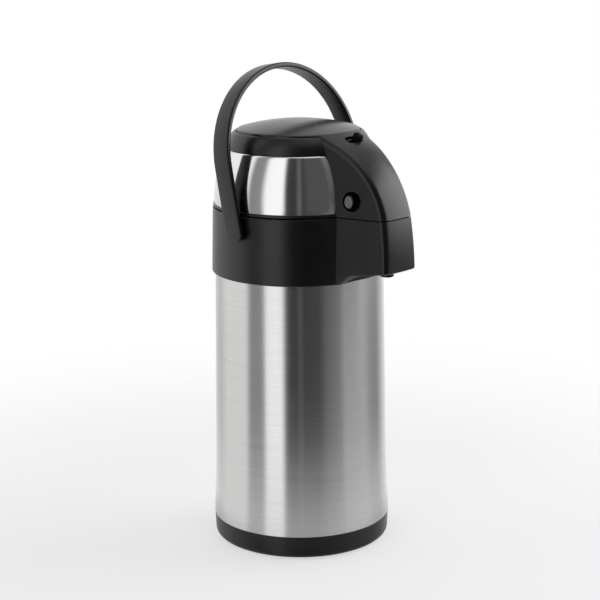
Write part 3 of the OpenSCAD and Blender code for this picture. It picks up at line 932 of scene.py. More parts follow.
@dataclass
class Vessel:
    """Base cup, rubber pad and steel shell, in millimetres.

    Attributes:
        base_h: height of the base cup.
        base_r: radius of its top edge.
        base_wall: thickness of its wall.
        floor_z: height of the top of its floor, in the middle and near the wall.
        foot_r: radius just above its rounded bottom edge.
        foot_z: height of that edge above the table.
        edge_r: radius of that rounding.
        pad_r: radius of the rubber pad.
        pad_h: thickness of the pad.
        grooves: first and last radius of the pad's grooves, and their pitch.
        groove: half width of a groove at its bottom and at its top, and its depth.
        shell_top_r: radius of the shell under the collar.
        shell_top_z: height at which it has that radius.
        taper: growth of the radius for each millimetre downwards.
        flare: extra growth at the foot.
        flare_z: height at which the flare starts.
        shoulder_z: height at which the shoulder starts.
        shoulder_r: rounding of the shoulder.
        neck_r: radius of the neck.
        neck_z: height of the neck's rim.
        steel: thickness of the steel.
        sides: number of facets round the base and round the shell.
    """

    base_h: float = 21.4
    base_r: float = 80.3
    base_wall: float = 2.6
    floor_z: Point2 = (6.4, 7.0)
    foot_r: float = 79.6
    foot_z: float = 0.8
    edge_r: float = 5.5
    pad_r: float = 72.0
    pad_h: float = 2.5
    grooves: tuple[int, int, int] = (12, 68, 8)
    groove: Point3 = (0.5, 0.8, 0.7)
    shell_top_r: float = 75.7
    shell_top_z: float = 249.0
    taper: float = 0.0154
    flare: float = 1.3
    flare_z: float = 90.0
    shoulder_z: float = 256.0
    shoulder_r: float = 16.0
    neck_r: float = 48.0
    neck_z: float = 292.0
    steel: float = 1.0
    sides: tuple[int, int] = (160, 192)

    def shell_r(self, z: float) -> float:
        """Outer radius of the shell at a height."""
        foot = max(0.0, self.flare_z - z) / (self.flare_z - self.base_h)
        return self.shell_top_r + (self.shell_top_z - z) * self.taper + self.flare * foot ** 2

    def base(self) -> None:
        """Turns the base cup, with its rounded bottom edge and a fine bead at its top."""
        gap, bead, lip = 0.1, 1.6, 0.05
        hole_r, hole_z, inside = self.pad_r + gap, self.pad_h + gap, self.base_r - self.base_wall
        section = rounded([
            (0.0, hole_z), (hole_r, hole_z), (hole_r, self.foot_z, 0.4),
            (self.foot_r - 0.2, self.foot_z, self.edge_r), (self.base_r - lip, self.base_h - bead, 0.3),
            (self.base_r + lip, self.base_h, 0.6), (inside, self.base_h, 0.3),
            (inside - 0.6, self.floor_z[1], 2.0), (0.0, self.floor_z[0])])
        cup = Bench.spun("base_cup_moulding", section, self.sides[0])
        fit_out(cup.done(), "pot", "black_plastic", "base_cup")

    def pad(self) -> None:
        """Turns the rubber pad, with shallow grooves under it."""
        bottom, top, deep = self.groove
        rim, edge = self.pad_r - 0.1, 0.5
        section: list[Point2] = [(0.0, self.pad_h), (0.0, 0.0)]
        for r in range(*self.grooves):
            section += [(r - top, 0.0), (r - bottom, deep), (r + bottom, deep), (r + top, 0.0)]
        section += [(rim - edge, 0.0), (rim, edge), (rim, self.pad_h)]
        pad = Bench.spun("foot_pad_ribbed", section, self.sides[0])
        fit_out(pad.done(), "pot", "rubber", "foot_pad")

    def shell(self) -> None:
        """Turns the brushed outer wall, its shoulder, its neck and its bottom."""
        low, pitch, rows = self.base_h + 0.2, 4.0, 58
        heights = [low + pitch * i for i in range(rows)] + [self.shoulder_z - 2.0, self.shoulder_z]
        floor_low, floor_high = self.base_h + 0.1, self.base_h + 1.2
        inner_rows = (200.0, 120.0, 90.0, 60.0, 40.0, 30.0)
        outside = [(self.shell_r(z), z) for z in heights]
        at = (self.shell_r(self.shoulder_z) - self.shoulder_r, self.shoulder_z)
        top, inner_r = self.shoulder_z + self.shoulder_r, self.neck_r - self.steel
        outside += arc(at, self.shoulder_r, 6.0, 90.0, 10) + [(self.neck_r, top), (self.neck_r, self.neck_z)]
        inside = [(inner_r, self.neck_z), (inner_r, top - self.steel)]
        inside += arc(at, self.shoulder_r - self.steel, 90.0, 0.0, 10)
        inside += [(self.shell_r(z) - self.steel, z) for z in inner_rows]
        inside += [(self.shell_r(24.0) - self.steel, floor_high), (0.0, floor_high), (0.0, floor_low),
                   (self.shell_r(self.base_h) - 1.4, floor_low)]
        shell = Bench.spun("outer_shell_brushed", outside + inside, self.sides[1])
        fit_out(shell.done(), "pot", "brushed_shell", "outer_shell")

    def build(self) -> None:
        """Makes all pieces of the vessel."""
        self.base()
        self.pad()
        self.shell()


@dataclass
class Collar:
    """Black collar: its band, the lower half of the beak and the hinge lugs, in millimetres.

    Attributes:
        low: height of its lower edge.
        high: height of its upper edge.
        low_r: radius at its lower edge.
        high_r: radius at its upper edge.
        skirt_r: inner radius at its lower edge.
        bowl_r: inner radius above the deck.
        under_r: inner radius under the deck.
        deck_z: heights of the deck's lower and upper face.
        hole_r: radius of the deck's hole.
        notch: size of the pipe's notch, whose middle is at notch_at.
        notch_at: place of the notch.
        step: size of the step under the beak, whose middle is at step_y on the lower edge.
        step_y: Y of that step.
        jaw_wall: thickness of the beak's wall.
        jaw_edge: rounding of the beak's lower edges.
        jaw_back: Y at which the beak ends in the band.
        jaw_low: height of the beak's underside, at its front edge and where its cove starts.
        cove_y: Y of the cove's start and of its end at the band.
        cove_r: radius of the cove.
        nozzle_y: distance of the nozzle from the axis.
        mouth_r: radius of the nozzle's hole.
        lugs_x: X of the lugs' first faces.
        lug_w: width of a lug.
    """

    low: float = 249.0
    high: float = 307.3
    low_r: float = 78.6
    high_r: float = 77.0
    skirt_r: float = 76.2
    bowl_r: float = 74.5
    under_r: float = 73.8
    deck_z: Point2 = (283.0, 286.0)
    hole_r: float = 49.0
    notch: Point3 = (18.0, 20.0, 50.0)
    notch_at: Point3 = (0.0, -76.5, 316.0)
    step: Point3 = (61.0, 26.0, 3.2)
    step_y: float = -72.0
    jaw_wall: float = 1.5
    jaw_edge: float = 1.6
    jaw_back: float = -58.0
    jaw_low: Point2 = (262.4, 258.25)
    cove_y: Point2 = (-84.6, -74.0)
    cove_r: float = 14.0
    nozzle_y: float = 103.0
    mouth_r: float = 6.5
    lugs_x: Point2 = (-20.0, 12.0)
    lug_w: float = 8.0

    def band(self) -> bpy.types.Object:
        """Turns the band with its bowl and deck, and cuts the pipe's notch and a step under the beak."""
        under, deck = self.deck_z
        section = rounded([
            (self.skirt_r, self.low, 0.3), (self.low_r, self.low, 1.1), (self.high_r, self.high, 0.8),
            (self.bowl_r, self.high, 0.4), (self.bowl_r, deck, 1.5), (self.hole_r, deck, 0.4),
            (self.hole_r, under, 0.4), (self.under_r, under), (self.under_r, under - 8.0),
            (self.skirt_r, under - 11.0)])
        band = Bench.spun("collar_band", section, 180).done()
        carve(band, Bench.block("notch", self.notch, self.notch_at))
        carve(band, Bench.block("step", self.step, (0.0, self.step_y, self.low)))
        return reshade(band)

    def front_y(self, z: float) -> float:
        """Y of the lower beak's front crease at a height: it goes on from the hood's in a flat arc."""
        top, low = (math.tan(math.radians(angle)) for angle in BEAK.flare)
        drop = self.high - z
        ease = drop ** 2 / (2 * (self.high - self.jaw_low[0])) * (top - low)
        return BEAK.crease(BEAK.seam_angle()).y - drop * top + ease

    def jaw(self) -> bpy.types.Object:
        """Models the beak's lower half: its side outline drawn across, creased, crowned and hollowed."""
        seam, front, foot = self.front_y(self.high), self.front_y(self.jaw_low[0]), self.low + 0.2
        nose_y, tall, wide, near = -100.0, 20.0, 12.0, 0.2
        outline = rounded([
            (seam, self.high), (front, self.jaw_low[0]), (self.cove_y[0], self.jaw_low[1], self.cove_r),
            (self.cove_y[1], foot), (self.jaw_back, foot), (self.jaw_back, self.high)], 8)

        def straight_y(z: float) -> float:
            """Y of the straight line between the ends of the front crease."""
            return seam + (front - seam) * (self.high - z) / (self.high - self.jaw_low[0])

        def on_front(v: Vector) -> bool:
            """Whether a point lies on the front or on its creases."""
            return v.y < straight_y(v.z) + BEAK.crease_r + 0.5

        def under(e: Any) -> bool:
            """Whether an edge lies along the rim of the underside."""
            return (all(v.co.z / MM < self.jaw_low[0] + near for v in e.verts)
                    and middle(e).y < self.cove_y[1] - 1
                    and (middle(e).y < front + 2 or span(e, X) < wide))

        def bowed(v: Vector) -> Point3:
            """Place on the crowned front, in its flat arc, of a point of the straight one."""
            half, level = BEAK.half_w, 90
            crown = max(0.0, BEAK.sag(half, level) - BEAK.sag(min(half, abs(v.x)), level))
            return v.x, v.y + self.front_y(v.z) - straight_y(v.z) - crown, v.z

        bench = Bench.outline("beak_jaw", [(BEAK.wall_x(y, z, True), y, z) for y, z in outline])
        bench.widen()
        bench.pick(Part.EDGE, lambda e: middle(e).y < nose_y and span(e, Z) > tall)
        bench.bevel(BEAK.crease_r, 6)
        bench.pick(Part.EDGE, under)
        bench.bevel(self.jaw_edge, 4)
        bench.pick(Part.EDGE, lambda e: span(e, X) > wide and middle(e).y < nose_y)
        bpy.ops.mesh.subdivide(number_cuts=11)
        bench.pick(Part.EDGE, lambda e: span(e, Z) > tall and on_front(middle(e)))
        bpy.ops.mesh.subdivide(number_cuts=9)
        bench.pick(Part.VERT, lambda v: on_front(v.co / MM))
        bench.form(bowed, picked=True)
        bench.pick(Part.FACE, lambda f: middle(f).z > self.high - near or middle(f).y > self.jaw_back - near
                   or middle(f).y > self.cove_y[1] and f.normal.z < -0.9)
        bpy.ops.mesh.delete(type="FACE")
        jaw = bench.done()
        thicken(jaw, self.jaw_wall)
        carve(jaw, Bench.rod("bowl", 128, self.bowl_r + 1.1, 200.0, (0, 0, 290.0)))
        carve(jaw, Bench.rod("mouth", 48, self.mouth_r, 30.0, (0, -self.nozzle_y, self.jaw_low[0] - 0.4)))
        return break_edges(jaw, 0.35, 55)

    def lugs(self) -> list[bpy.types.Object]:
        """Two lugs that carry the hinge pin."""
        back, foot, low, high = 71.5, 77.4, 284.0, 303.3
        outline = [(back, low), (foot, low)] + arc(HINGE, HINGE_R, -35.0, 215.0, 18) + [(back, high)]
        return [plate(f"hinge_lug_{side}", outline, x, x + self.lug_w, 0.6)
                for side, x in zip(("right", "left"), self.lugs_x)]

    def build(self) -> None:
        """Makes all pieces of the collar."""
        for piece in (self.band(), self.jaw(), *self.lugs()):
            fit_out(piece, "pot", "black_plastic", "collar")


@dataclass
class CarryHandle:
    """Swinging handle: a rounded band bent to an arch and leaning back, in millimetres.

    Attributes:
        pivot_z: height of its pivots.
        lean: lean towards the back, in degrees.
        rise: rise of its top above the pivots.
        half_w: half width at its widest.
        pivot_half_w: half width at the pivots.
        arch: height above the pivots at which the arch starts.
        thick: thickness of the band.
        low_w: width of the band at its pivots.
        top_w: width of the band at its top.
        edge: rounding of its edges.
        tongue: how far its ends reach below the pivots.
        tongue_r: corner radius of these ends.
        toe: turn of the band's back edge towards the pot at the pivots and at the top, in degrees.
        stations: number of steps along an end, along an arm and along half of the arch.
    """

    pivot_z: float = 293.0
    lean: float = 11.4
    rise: float = 141.0
    half_w: float = 84.6
    pivot_half_w: float = 83.8
    arch: float = 58.0
    thick: float = 4.6
    low_w: float = 20.0
    top_w: float = 17.5
    edge: float = 1.5
    tongue: float = 6.8
    tongue_r: float = 5.5
    toe: Point2 = (4.5, -2.0)
    stations: tuple[int, int, int] = (8, 12, 36)

    def line(self) -> list[Point2]:
        """Outer line of the right arm in the handle's plane, from the tongue's end to the top."""
        ends, arms, arches = self.stations
        start, right_angle = 0.02 - self.tongue, math.pi / 2
        heights = [self.tongue_r * (1 - math.cos(right_angle * i / ends)) + start for i in range(ends + 1)]
        heights += [self.arch * i / arms for i in range(arms)]
        drop = self.half_w - self.pivot_half_w
        arm = [(self.half_w - drop * (1 - max(0.0, h) / self.arch) ** 2, h) for h in heights]
        bow = [(self.half_w * math.cos(t), self.arch + (self.rise - self.arch) * math.sin(t))
               for t in (right_angle * i / arches for i in range(arches + 1))]
        return arm + bow

    def width(self, height: float) -> float:
        """Width of the band at a height above the pivots."""
        below = max(0.0, self.tongue_r - self.tongue - height)
        corner = self.tongue_r - math.sqrt(max(0.0, self.tongue_r ** 2 - below ** 2))
        return self.low_w + (self.top_w - self.low_w) * max(0.0, height) / self.rise - 2 * corner

    def section(self, width: float) -> list[Point2]:
        """Rounded section of the band: depth from its outer line, and place across it."""
        edge, half = min(self.edge, width * 0.24), width / 2
        return rounded([(depth, side, edge) for depth, side in (
            (0, -half), (self.thick, -half), (self.thick, half), (0, half))], 4)

    def build(self) -> None:
        """Extrudes the section along the arch, station by station."""
        right = self.line()
        stations = right + [(-x, h) for x, h in reversed(right[:-1])]
        tilt = Matrix.Translation((0, 0, self.pivot_z)) @ Matrix.Rotation(math.radians(-self.lean), 4, "X")
        bench: Bench | None = None
        for i, (x, h) in enumerate(stations):
            before, after = stations[max(0, i - 1)], stations[min(len(stations) - 1, i + 1)]
            along = Vector((after[0] - before[0], after[1] - before[1])).normalized()
            inward = Vector((-along.y, along.x))
            toe = math.tan(math.radians(self.toe[0] + (self.toe[1] - self.toe[0]) * max(0.0, h) / self.rise))
            ring = [tilt @ Vector((x + inward.x * (d + w * toe), w, h + inward.y * (d + w * toe)))
                    for d, w in self.section(self.width(h))]
            if bench is None:
                bench = Bench.outline("carry_handle_band", ring)
                continue
            bench.extrude()
            mesh = bmesh.from_edit_mesh(bench.piece.data)
            for vertex, place in zip(list(mesh.verts)[-len(ring):], ring):
                vertex.co = place * MM
            bmesh.update_edit_mesh(bench.piece.data)
        bench.tidy()
        fit_out(bench.done(40.0), "handle", "black_plastic", "handle")


@dataclass
class Lid:
    """Lid: rim, barrel and arched ring in one moulding, the beak's hood, the hinge and the steel crown.

    Attributes:
        low: height of its lower edge, in millimetres as all its sizes.
        rim_r: radius of its rim.
        floor_r: radius of the floor plate inside the rim.
        floor_z: heights of the floor plate's seat and of the face above it.
        wall: thickness of its walls.
        barrel_r: inner radius of the barrel.
        ring_at: radius and height of the centre of the ring's arc.
        ring_r: radius of the ring's arc.
        ring_high: height of the ring's lip.
        ring_ends: angles at which the ring's arc ends inside and outside, in degrees.
        hood_from: angle along the beak at which the hood starts, in degrees.
        hood_back: Y at which the hood ends in the crown.
        slot: size of the lock's slot, whose corners have the radius slot_r.
        slot_r: corner radius of that slot.
        recess_r: radius of the recesses for the release buttons.
        recess: depth of the cut for such a recess, half of it outside the panel.
        cup: depths of a guide cup's mouth and end behind the panel.
        cup_wall: thickness of a guide cup's wall.
        cup_hole: radius of the hole in its end.
        knuckle: half width of the hinge's knuckle.
        crown_low: height of the crown's lower edge.
        crown_high: height of the crown's upper edge.
        crown_at: radius and height of the centre of the crown's arc.
        crown_r: radius of that arc.
        crown_gap: gap between the crown's ends and the beak.
        crown_steel: thickness of the crown.
        top_roll: height and depth of the crown's rolled top edge.
        end_roll: length and depth of the rolled ends at the beak.
        corner: height and length of the rounding of the crown's upper corners.
    """

    low: float = 308.3
    rim_r: float = 76.4
    floor_r: float = 70.6
    floor_z: Point2 = (310.5, 312.4)
    wall: float = 2.4
    barrel_r: float = 55.2
    ring_at: Point2 = (38.8, 354.8)
    ring_r: float = 26.7
    ring_high: float = 374.4
    ring_ends: Point2 = (38.0, 45.0)
    hood_from: float = 10.0
    hood_back: float = -46.0
    slot: Point3 = (19.0, 9.2, 24.0)
    slot_r: float = 4.0
    recess_r: float = 8.7
    recess: float = 16.0
    cup: Point2 = (1.6, 7.4)
    cup_wall: float = 1.4
    cup_hole: float = 5.9
    knuckle: float = 11.7
    crown_low: float = 311.0
    crown_high: float = 360.0
    crown_at: Point2 = (-43.8, 311.0)
    crown_r: float = 119.5
    crown_gap: float = 0.35
    crown_steel: float = 0.8
    top_roll: Point2 = (1.6, 1.2)
    end_roll: Point2 = (5.5, 0.25)
    corner: Point2 = (5.0, 3.2)

    def ring(self) -> bpy.types.Object:
        """Turns the rim, the barrel and the arched ring."""
        inner, foot = self.ring_r - self.wall, self.crown_high + 0.2
        inner_end, outer_end = self.ring_ends
        seat, floor = self.floor_z
        shoulder = arc(self.ring_at, self.ring_r, outer_end, outer_end, 1)[0]

        def at_foot(radius: float) -> float:
            """Angle at which an arc of the ring meets the crown's top edge, in degrees."""
            return math.degrees(math.asin((foot - self.ring_at[1]) / radius))

        section: list[Point2] = [(self.barrel_r, seat), (self.floor_r, seat), (self.floor_r, self.low)]
        section += rounded([(self.floor_r, self.low), (self.rim_r, self.low, 0.5),
                            (self.rim_r, self.crown_low, 0.7), (self.floor_r, self.crown_low)])[1:-1]
        section += [(self.floor_r, self.crown_low), (self.floor_r - 1.0, floor),
                    (self.barrel_r + 2.0, floor)]
        section += arc(self.ring_at, inner, inner_end, at_foot(inner), 8)
        section += arc(self.ring_at, self.ring_r, at_foot(self.ring_r), outer_end, 14)
        section += rounded([shoulder, (self.barrel_r + 0.9, self.ring_high + 0.15, 0.9),
                            (self.barrel_r, self.ring_high - 0.5, 0.3), (self.barrel_r, 371.0)])[1:]
        return Bench.spun("lid_ring", section, 192).done()

    def hood(self) -> bpy.types.Object:
        """Models the beak's hood: its side outline drawn across, creased, crowned, hollowed and cut."""
        start, end, steps = self.hood_from, BEAK.seam_angle(), 32
        side_depth, wide, near, ring_top = 12.0, 10.0, 0.1, 374.0
        side = [BEAK.crease(start + (end - start) * i / steps) for i in range(steps + 1)]
        back = (self.hood_back, self.low), (side[0].y, 340.0)
        side += [Vector((BEAK.wall_x(y, z), y, z)) for y, z in back]

        def on_top(point: Vector) -> bool:
            """Whether a point lies on the arched top."""
            return BEAK.over(point)[1] > -side_depth and point.z > self.low - near

        def is_crease(e: Any) -> bool:
            """Whether an edge lies along one of the creases."""
            return all(on_top(v.co / MM) for v in e.verts) and e.verts[0].co.x * e.verts[1].co.x > 0

        def is_open(f: Any) -> bool:
            """Whether a face closes the hood's lower side or its back, which stay open."""
            at = middle(f)
            return (abs(f.normal.z) > 0.98 and at.z < self.low + 0.5
                    or at.y > self.hood_back - 0.5 and abs(f.normal.x) < 0.5 and at.z < ring_top)

        def crowned(v: Vector) -> Vector:
            """Raises a point of the top by the crown across the beak."""
            angle, above = BEAK.over(v)
            edge = abs(BEAK.crease(min(end, max(start, angle))).x)
            lift = BEAK.sag(edge, angle) - BEAK.sag(min(edge, abs(v.x)), angle)
            if above < -BEAK.sag(edge, angle) - 3.5 or lift <= 0:
                return v
            push = BEAK.top(angle)[1] * lift
            if v.z < self.low + near / 2:
                push = Vector((0, push.length / -math.sin(math.radians(angle)), 0))
            return v + push

        bench = Bench.outline("beak_hood", side)
        bench.widen()
        bench.pick(Part.EDGE, is_crease)
        bench.bevel(BEAK.crease_r, 6)
        bench.pick(Part.EDGE, lambda e: span(e, X) > wide and on_top(middle(e)))
        bpy.ops.mesh.subdivide(number_cuts=13)
        bench.pick(Part.VERT, lambda v: on_top(v.co / MM))
        bench.form(crowned, picked=True)
        bench.pick(Part.FACE, is_open)
        bpy.ops.mesh.delete(type="FACE")
        hood = bench.done()
        thicken(hood, self.wall)
        self.cut_hood(hood)
        return break_edges(hood, 0.3, 58)

    def cut_hood(self, hood: bpy.types.Object) -> None:
        """Cuts the pump's barrel, the release buttons' recesses and the lock's slot out of the hood."""
        carve(hood, Bench.rod("barrel", 128, self.barrel_r + 0.4, 200.0, (0, 0, 380.0)))
        for side in Side:
            recess = Bench.rod("recess", 64, self.recess_r, self.recess)
            recess.move(BEAK.release_spot(side))
            carve(hood, recess)
        slot = Bench.block("slot", self.slot)
        slot.pick(Part.EDGE, lambda e: span(e, Z) > self.slot_r)
        slot.bevel(self.slot_r, 6)
        slot.move(lock_frame())
        carve(hood, slot)

    def guide(self, side: Side) -> bpy.types.Object:
        """Cup behind the hood's wall that guides a release button on a side of the beak."""
        outer, (mouth, end) = self.recess_r + self.cup_wall, self.cup
        floor = end - self.cup_wall
        section = rounded([
            (self.recess_r, mouth, 0.2), (self.recess_r, floor, 0.6), (self.cup_hole, floor, 0.3),
            (self.cup_hole, end, 0.2), (outer, end, 0.5), (outer, mouth, 0.2)])
        bench = Bench.spun(f"release_guide_{side.name.lower()}", section, 64)
        bench.move(BEAK.release_spot(side))
        return bench.done()

    def hinge(self) -> bpy.types.Object:
        """Hinge knuckle on a short tongue behind the rim."""
        root, low, high = 72.9, 308.5, 310.8
        outline = [(root, low), (79.0, low)] + arc(HINGE, HINGE_R, 186.0, 450.0, 18)
        outline += [(80.5, 312.8), (76.7, high), (root, high)]
        return plate("hinge_knuckle", outline, -self.knuckle, self.knuckle, 0.5)

    def crown(self) -> bpy.types.Object:
        """Bends a sheet round the lid, with rolled ends at the beak and a rolled top edge."""
        rises = [i / 26 for i in range(25)] + [0.955, 0.975, 0.99, 1.0]
        steps = [0.0, 0.25, 0.6, 1.0, 1.5, 2.1, 2.8, 3.6, 4.5, self.end_roll[0]]
        spans = 120
        last_row, last_step = len(rises) - 1, len(steps) - 1
        last_column = 2 * len(steps) + spans - 2
        half_sheet = 1 / MM

        def eased(share: float) -> float:
            """Rise of a quarter circle, from 0 to 1 with the share."""
            return 1 - math.sqrt(1 - min(1.0, max(0.0, share)) ** 2)

        def end_angle(z: float, radius: float) -> float:
            """Angle from straight ahead at which the crown ends at the beak."""
            low, high = math.radians(5.0), math.radians(60.0)
            beak = halve(low, high, lambda angle: -radius * math.sin(angle)
                         > BEAK.wall_x(-radius * math.cos(angle), z) - self.crown_gap)
            high, long = self.corner
            return beak + long * eased((z - self.crown_high + high) / high) / radius

        def place(v: Vector) -> Vector:
            """Place on the crown of a point of the flat sheet."""
            column = round((v.x / half_sheet + 1) / 2 * last_column)
            rise = rises[round((v.y / half_sheet + 1) / 2 * last_row)]
            z = self.crown_low + (self.crown_high - self.crown_low) * rise
            radius = self.crown_at[0] + math.sqrt(self.crown_r ** 2 - (z - self.crown_at[1]) ** 2)
            edge = end_angle(z, radius)
            side = min(column, last_column - column)
            step = steps[min(side, last_step)]
            angle = edge + step / radius
            if side > last_step:
                share = (column - last_step) / (last_column - 2 * last_step)
                angle += (math.tau - 2 * angle) * share
            elif column > last_column / 2:
                angle = math.tau - angle
            (long, deep), (high, inward) = self.end_roll, self.top_roll
            radius -= (1 - min(1.0, step / long)) ** 2 * deep
            radius -= inward * eased((z - self.crown_high + high) / high)
            return Vector((-radius * math.sin(angle), -radius * math.cos(angle), z))

        bench = Bench("lid_crown", bpy.ops.mesh.primitive_grid_add, x_subdivisions=last_column,
                      y_subdivisions=last_row)
        bench.form(place)
        bench.tidy()
        crown = bench.done(60.0)
        thicken(crown, self.crown_steel, even=False)
        return reshade(crown, 50.0)

    def build(self) -> None:
        """Makes all pieces of the lid."""
        fit_out(self.ring(), "lid", "black_plastic", "lid_housing")
        fit_out(self.hood(), "lid", "black_plastic", "lid_housing")
        for side in Side:
            # Painted shade: the guide cups get the darker recess black instead of the lid's black moulding,
            # so the recesses look shadowed.
            fit_out(self.guide(side), "lid", "black_plastic", "lid_housing", finish=Finish.PIT)
        fit_out(self.hinge(), "lid", "black_plastic", "lid_housing")
        fit_out(self.crown(), "lid", "polished_crown", "crown_band")


def lock_frame() -> Matrix:
    """Frame of the lock's slot on the beak's top, x across it and z out of it, in millimetres."""
    middle_y, lean = -65.6, math.radians(BEAK.flat)
    run = (middle_y - BEAK.flat_y) / math.cos(lean)
    point, _ = BEAK.top(BEAK.flat - math.degrees(run / BEAK.arc_r))
    return Matrix.Translation(point) @ Matrix.Rotation(lean, 4, "X")


@dataclass
class Pump:
    """Press button, lock knob, release buttons and nozzle, in millimetres.

    Attributes:
        button_r: radius of the press button.
        button_low: height of its edge.
        button_rise: rise of its dome.
        button_edge: rounding of its edge.
        button_wall: thickness of its skirt.
        skirt_z: height of the skirt's lower edge.
        plunger_r: radius of its plunger.
        plunger_z: height of the plunger's lower face.
        pin_r: half height and half length of a release button's oval.
        pin_proud: how far it stands out of the panel.
        pin_deep: depth at which its heel starts behind the panel.
        cap_t: how far its grey cap stands out of it.
        dish: width of the rim round its dished face, of the slope there, and the dish's depth.
        heel: length of its heel, which the spring presses on.
        hook: size of its hook, whose middle is at hook_at from the button's place on the panel.
        hook_at: place of the hook.
        knob: size of the lock's knob, whose middle is at knob_at in the lock's frame.
        knob_at: place of the knob.
        slide: X of the ends of the lock's hidden slide.
        slide_t: thickness of the slide.
        nozzle_y: distance of the nozzle from the axis.
        nozzle_z: heights of the nozzle's lip, of the end of its spout and of its top.
        nozzle_r: radii of its bore, of its spout and of its flange.
    """

    button_r: float = 54.6
    button_low: float = 375.9
    button_rise: float = 7.8
    button_edge: float = 2.2
    button_wall: float = 2.4
    skirt_z: float = 356.9
    plunger_r: float = 38.0
    plunger_z: float = 368.6
    pin_r: Point2 = (5.7, 4.3)
    pin_proud: float = 6.0
    pin_deep: float = 7.0
    cap_t: float = 0.7
    dish: Point3 = (1.5, 0.5, 0.35)
    heel: float = 2.0
    hook: Point3 = (2.0, 5.0, 24.0)
    hook_at: Point3 = (8.0, -6.0, -12.0)
    knob: Point3 = (6.0, 7.6, 9.4)
    knob_at: Point3 = (4.0, 0.0, -0.1)
    slide: Point2 = (-10.5, 18.5)
    slide_t: float = 1.6
    nozzle_y: float = 103.0
    nozzle_z: Point3 = (256.2, 267.0, 272.0)
    nozzle_r: Point3 = (4.0, 6.0, 8.0)

    def button(self) -> bpy.types.Object:
        """Turns the domed button with its rounded shoulder, skirt and plunger."""
        dome = (self.button_r ** 2 + self.button_rise ** 2) / (2 * self.button_rise)
        at = (0.0, self.button_low + self.button_rise - dome)
        edge, inside = self.button_edge, self.button_r - self.button_wall
        shoulder_r = self.button_r - edge
        shoulder = (shoulder_r, at[1] + math.sqrt((dome - edge) ** 2 - shoulder_r ** 2))
        lean = math.degrees(math.atan2(shoulder[1] - at[1], shoulder[0]))
        section = arc(at, dome, 90.0, lean, 30) + arc(shoulder, edge, lean, 0.0, 7)[1:]
        section += [(self.button_r, self.skirt_z), (inside, self.skirt_z), (inside, 372.0),
                    (self.plunger_r, 375.0), (self.plunger_r, self.plunger_z), (0.0, self.plunger_z)]
        return Bench.spun("pump_button_dome", section, 192).done()

    def oval(self, name: str, shrink: float, start: float, end: float, rim: float) -> Bench:
        """An oval peg along a release button's axis, with a rounded rim and a dished face at its start.

        Args:
            name: the piece's name.
            shrink: how much smaller than the button's oval it is.
            start: depth of its face in the panel.
            end: depth of its other end.
            rim: rounding of its rim.

        Returns:
            The bench, with the peg open for editing.
        """
        high, long = (half - shrink for half in self.pin_r)
        border, slope, deep = self.dish
        bench = Bench.rod(name, 64, 1.0, 1.0)
        bench.form(lambda v: (v.x * high, v.y * long, start + (v.z + 0.5) * (end - start)))
        bench.pick(Part.FACE, lambda f: f.normal.z < -0.9)
        bench.inset(border)
        bench.inset(slope, -deep)
        bench.pick(Part.EDGE, lambda e: all(
            abs(v.co.z / MM - start) < 0.01 and math.hypot(v.co.x / high, v.co.y / long) / MM > 0.99
            for v in e.verts))
        bench.bevel(rim, 4)
        return bench

    def cap(self, side: Side) -> bpy.types.Object:
        """Grey cap on the face of a release button, in the button's own grey; the pin round it is black as
        painted shade.
        """
        bench = self.oval(f"release_cap_{side.name.lower()}", shrink=0.5, start=-self.pin_proud,
                          end=1.0 - self.pin_proud, rim=0.5)
        bench.move(BEAK.release_spot(side))
        return bench.done(38.0)

    def pin(self, side: Side) -> bpy.types.Object:
        """Release button on a side of the beak: an oval peg with a rounded rim, a heel and its hook."""
        bench = self.oval(f"release_pin_{side.name.lower()}", shrink=0.0, start=self.cap_t - self.pin_proud,
                          end=self.pin_deep, rim=0.7)
        bench.pick(Part.FACE, lambda f: f.normal.z > 0.9 and middle(f).z > self.pin_deep - 0.5)
        bench.extrude((0, 0, self.heel))
        bench.move(BEAK.release_spot(side))
        pin = bench.done(38.0)
        bench = Bench.block("hook", self.hook, self.hook_at)
        bench.move(BEAK.panel(side) @ Matrix.Translation((0, *BEAK.release)))
        hook = bench.done()
        activate(pin)
        hook.select_set(True)
        bpy.ops.object.join()
        return pin

    def lock(self) -> bpy.types.Object:
        """Lock knob: a rounded block on a hidden slide."""
        start, end = self.slide
        bench = Bench.block("lock_knob", self.knob, self.knob_at)
        bench.pick(Part.EDGE, lambda e: all(v.co.z / MM > 1 for v in e.verts) or span(e, Z) > 5)
        bench.bevel(1.0, 3)
        bench.pick(Part.FACE, lambda f: f.normal.z < -0.9)
        bench.extrude()
        bench.form(lambda v: (start if v.x < self.knob_at[0] else end, v.y, v.z), picked=True)
        bench.extrude((0, 0, -self.slide_t))
        bench.move(lock_frame())
        return bench.done()

    def nozzle(self) -> bpy.types.Object:
        """Nozzle under the beak: a turned spout with a rounded lip."""
        (lip, shoulder, top), (bore, spout, flange) = self.nozzle_z, self.nozzle_r
        section = rounded([(bore, lip, 0.5), (spout - 0.1, lip, 0.8), (spout, shoulder),
                           (flange, shoulder + 1.5, 0.3), (flange, top, 0.3), (bore, top)])
        bench = Bench.spun("spout_nozzle_lip", section, 64)
        bench.move(Matrix.Translation((0, -self.nozzle_y, 0)))
        return bench.done()

    def build(self) -> None:
        """Makes all pieces of the pump."""
        fit_out(self.button(), "button", "black_plastic", "pump_button", finish=Finish.DOME)
        # Painted shade: the lock knob gets the darker recess black, so the slot round it looks shadowed.
        fit_out(self.lock(), "lock", "black_plastic", "lock_slider", finish=Finish.PIT)
        for side in Side:
            name = side.name.lower()
            body, node = f"release_{name}", f"release_button_{name}"
            # Painted shade: the release pin is black moulding instead of the button's grey, so its sides
            # look shaded; only its cap shows the grey.
            fit_out(self.pin(side), body, "button_plastic", node, finish=Finish.BLACK)
            fit_out(self.cap(side), body, "button_plastic", node)
        fit_out(self.nozzle(), "pot", "black_plastic", "spout_nozzle")


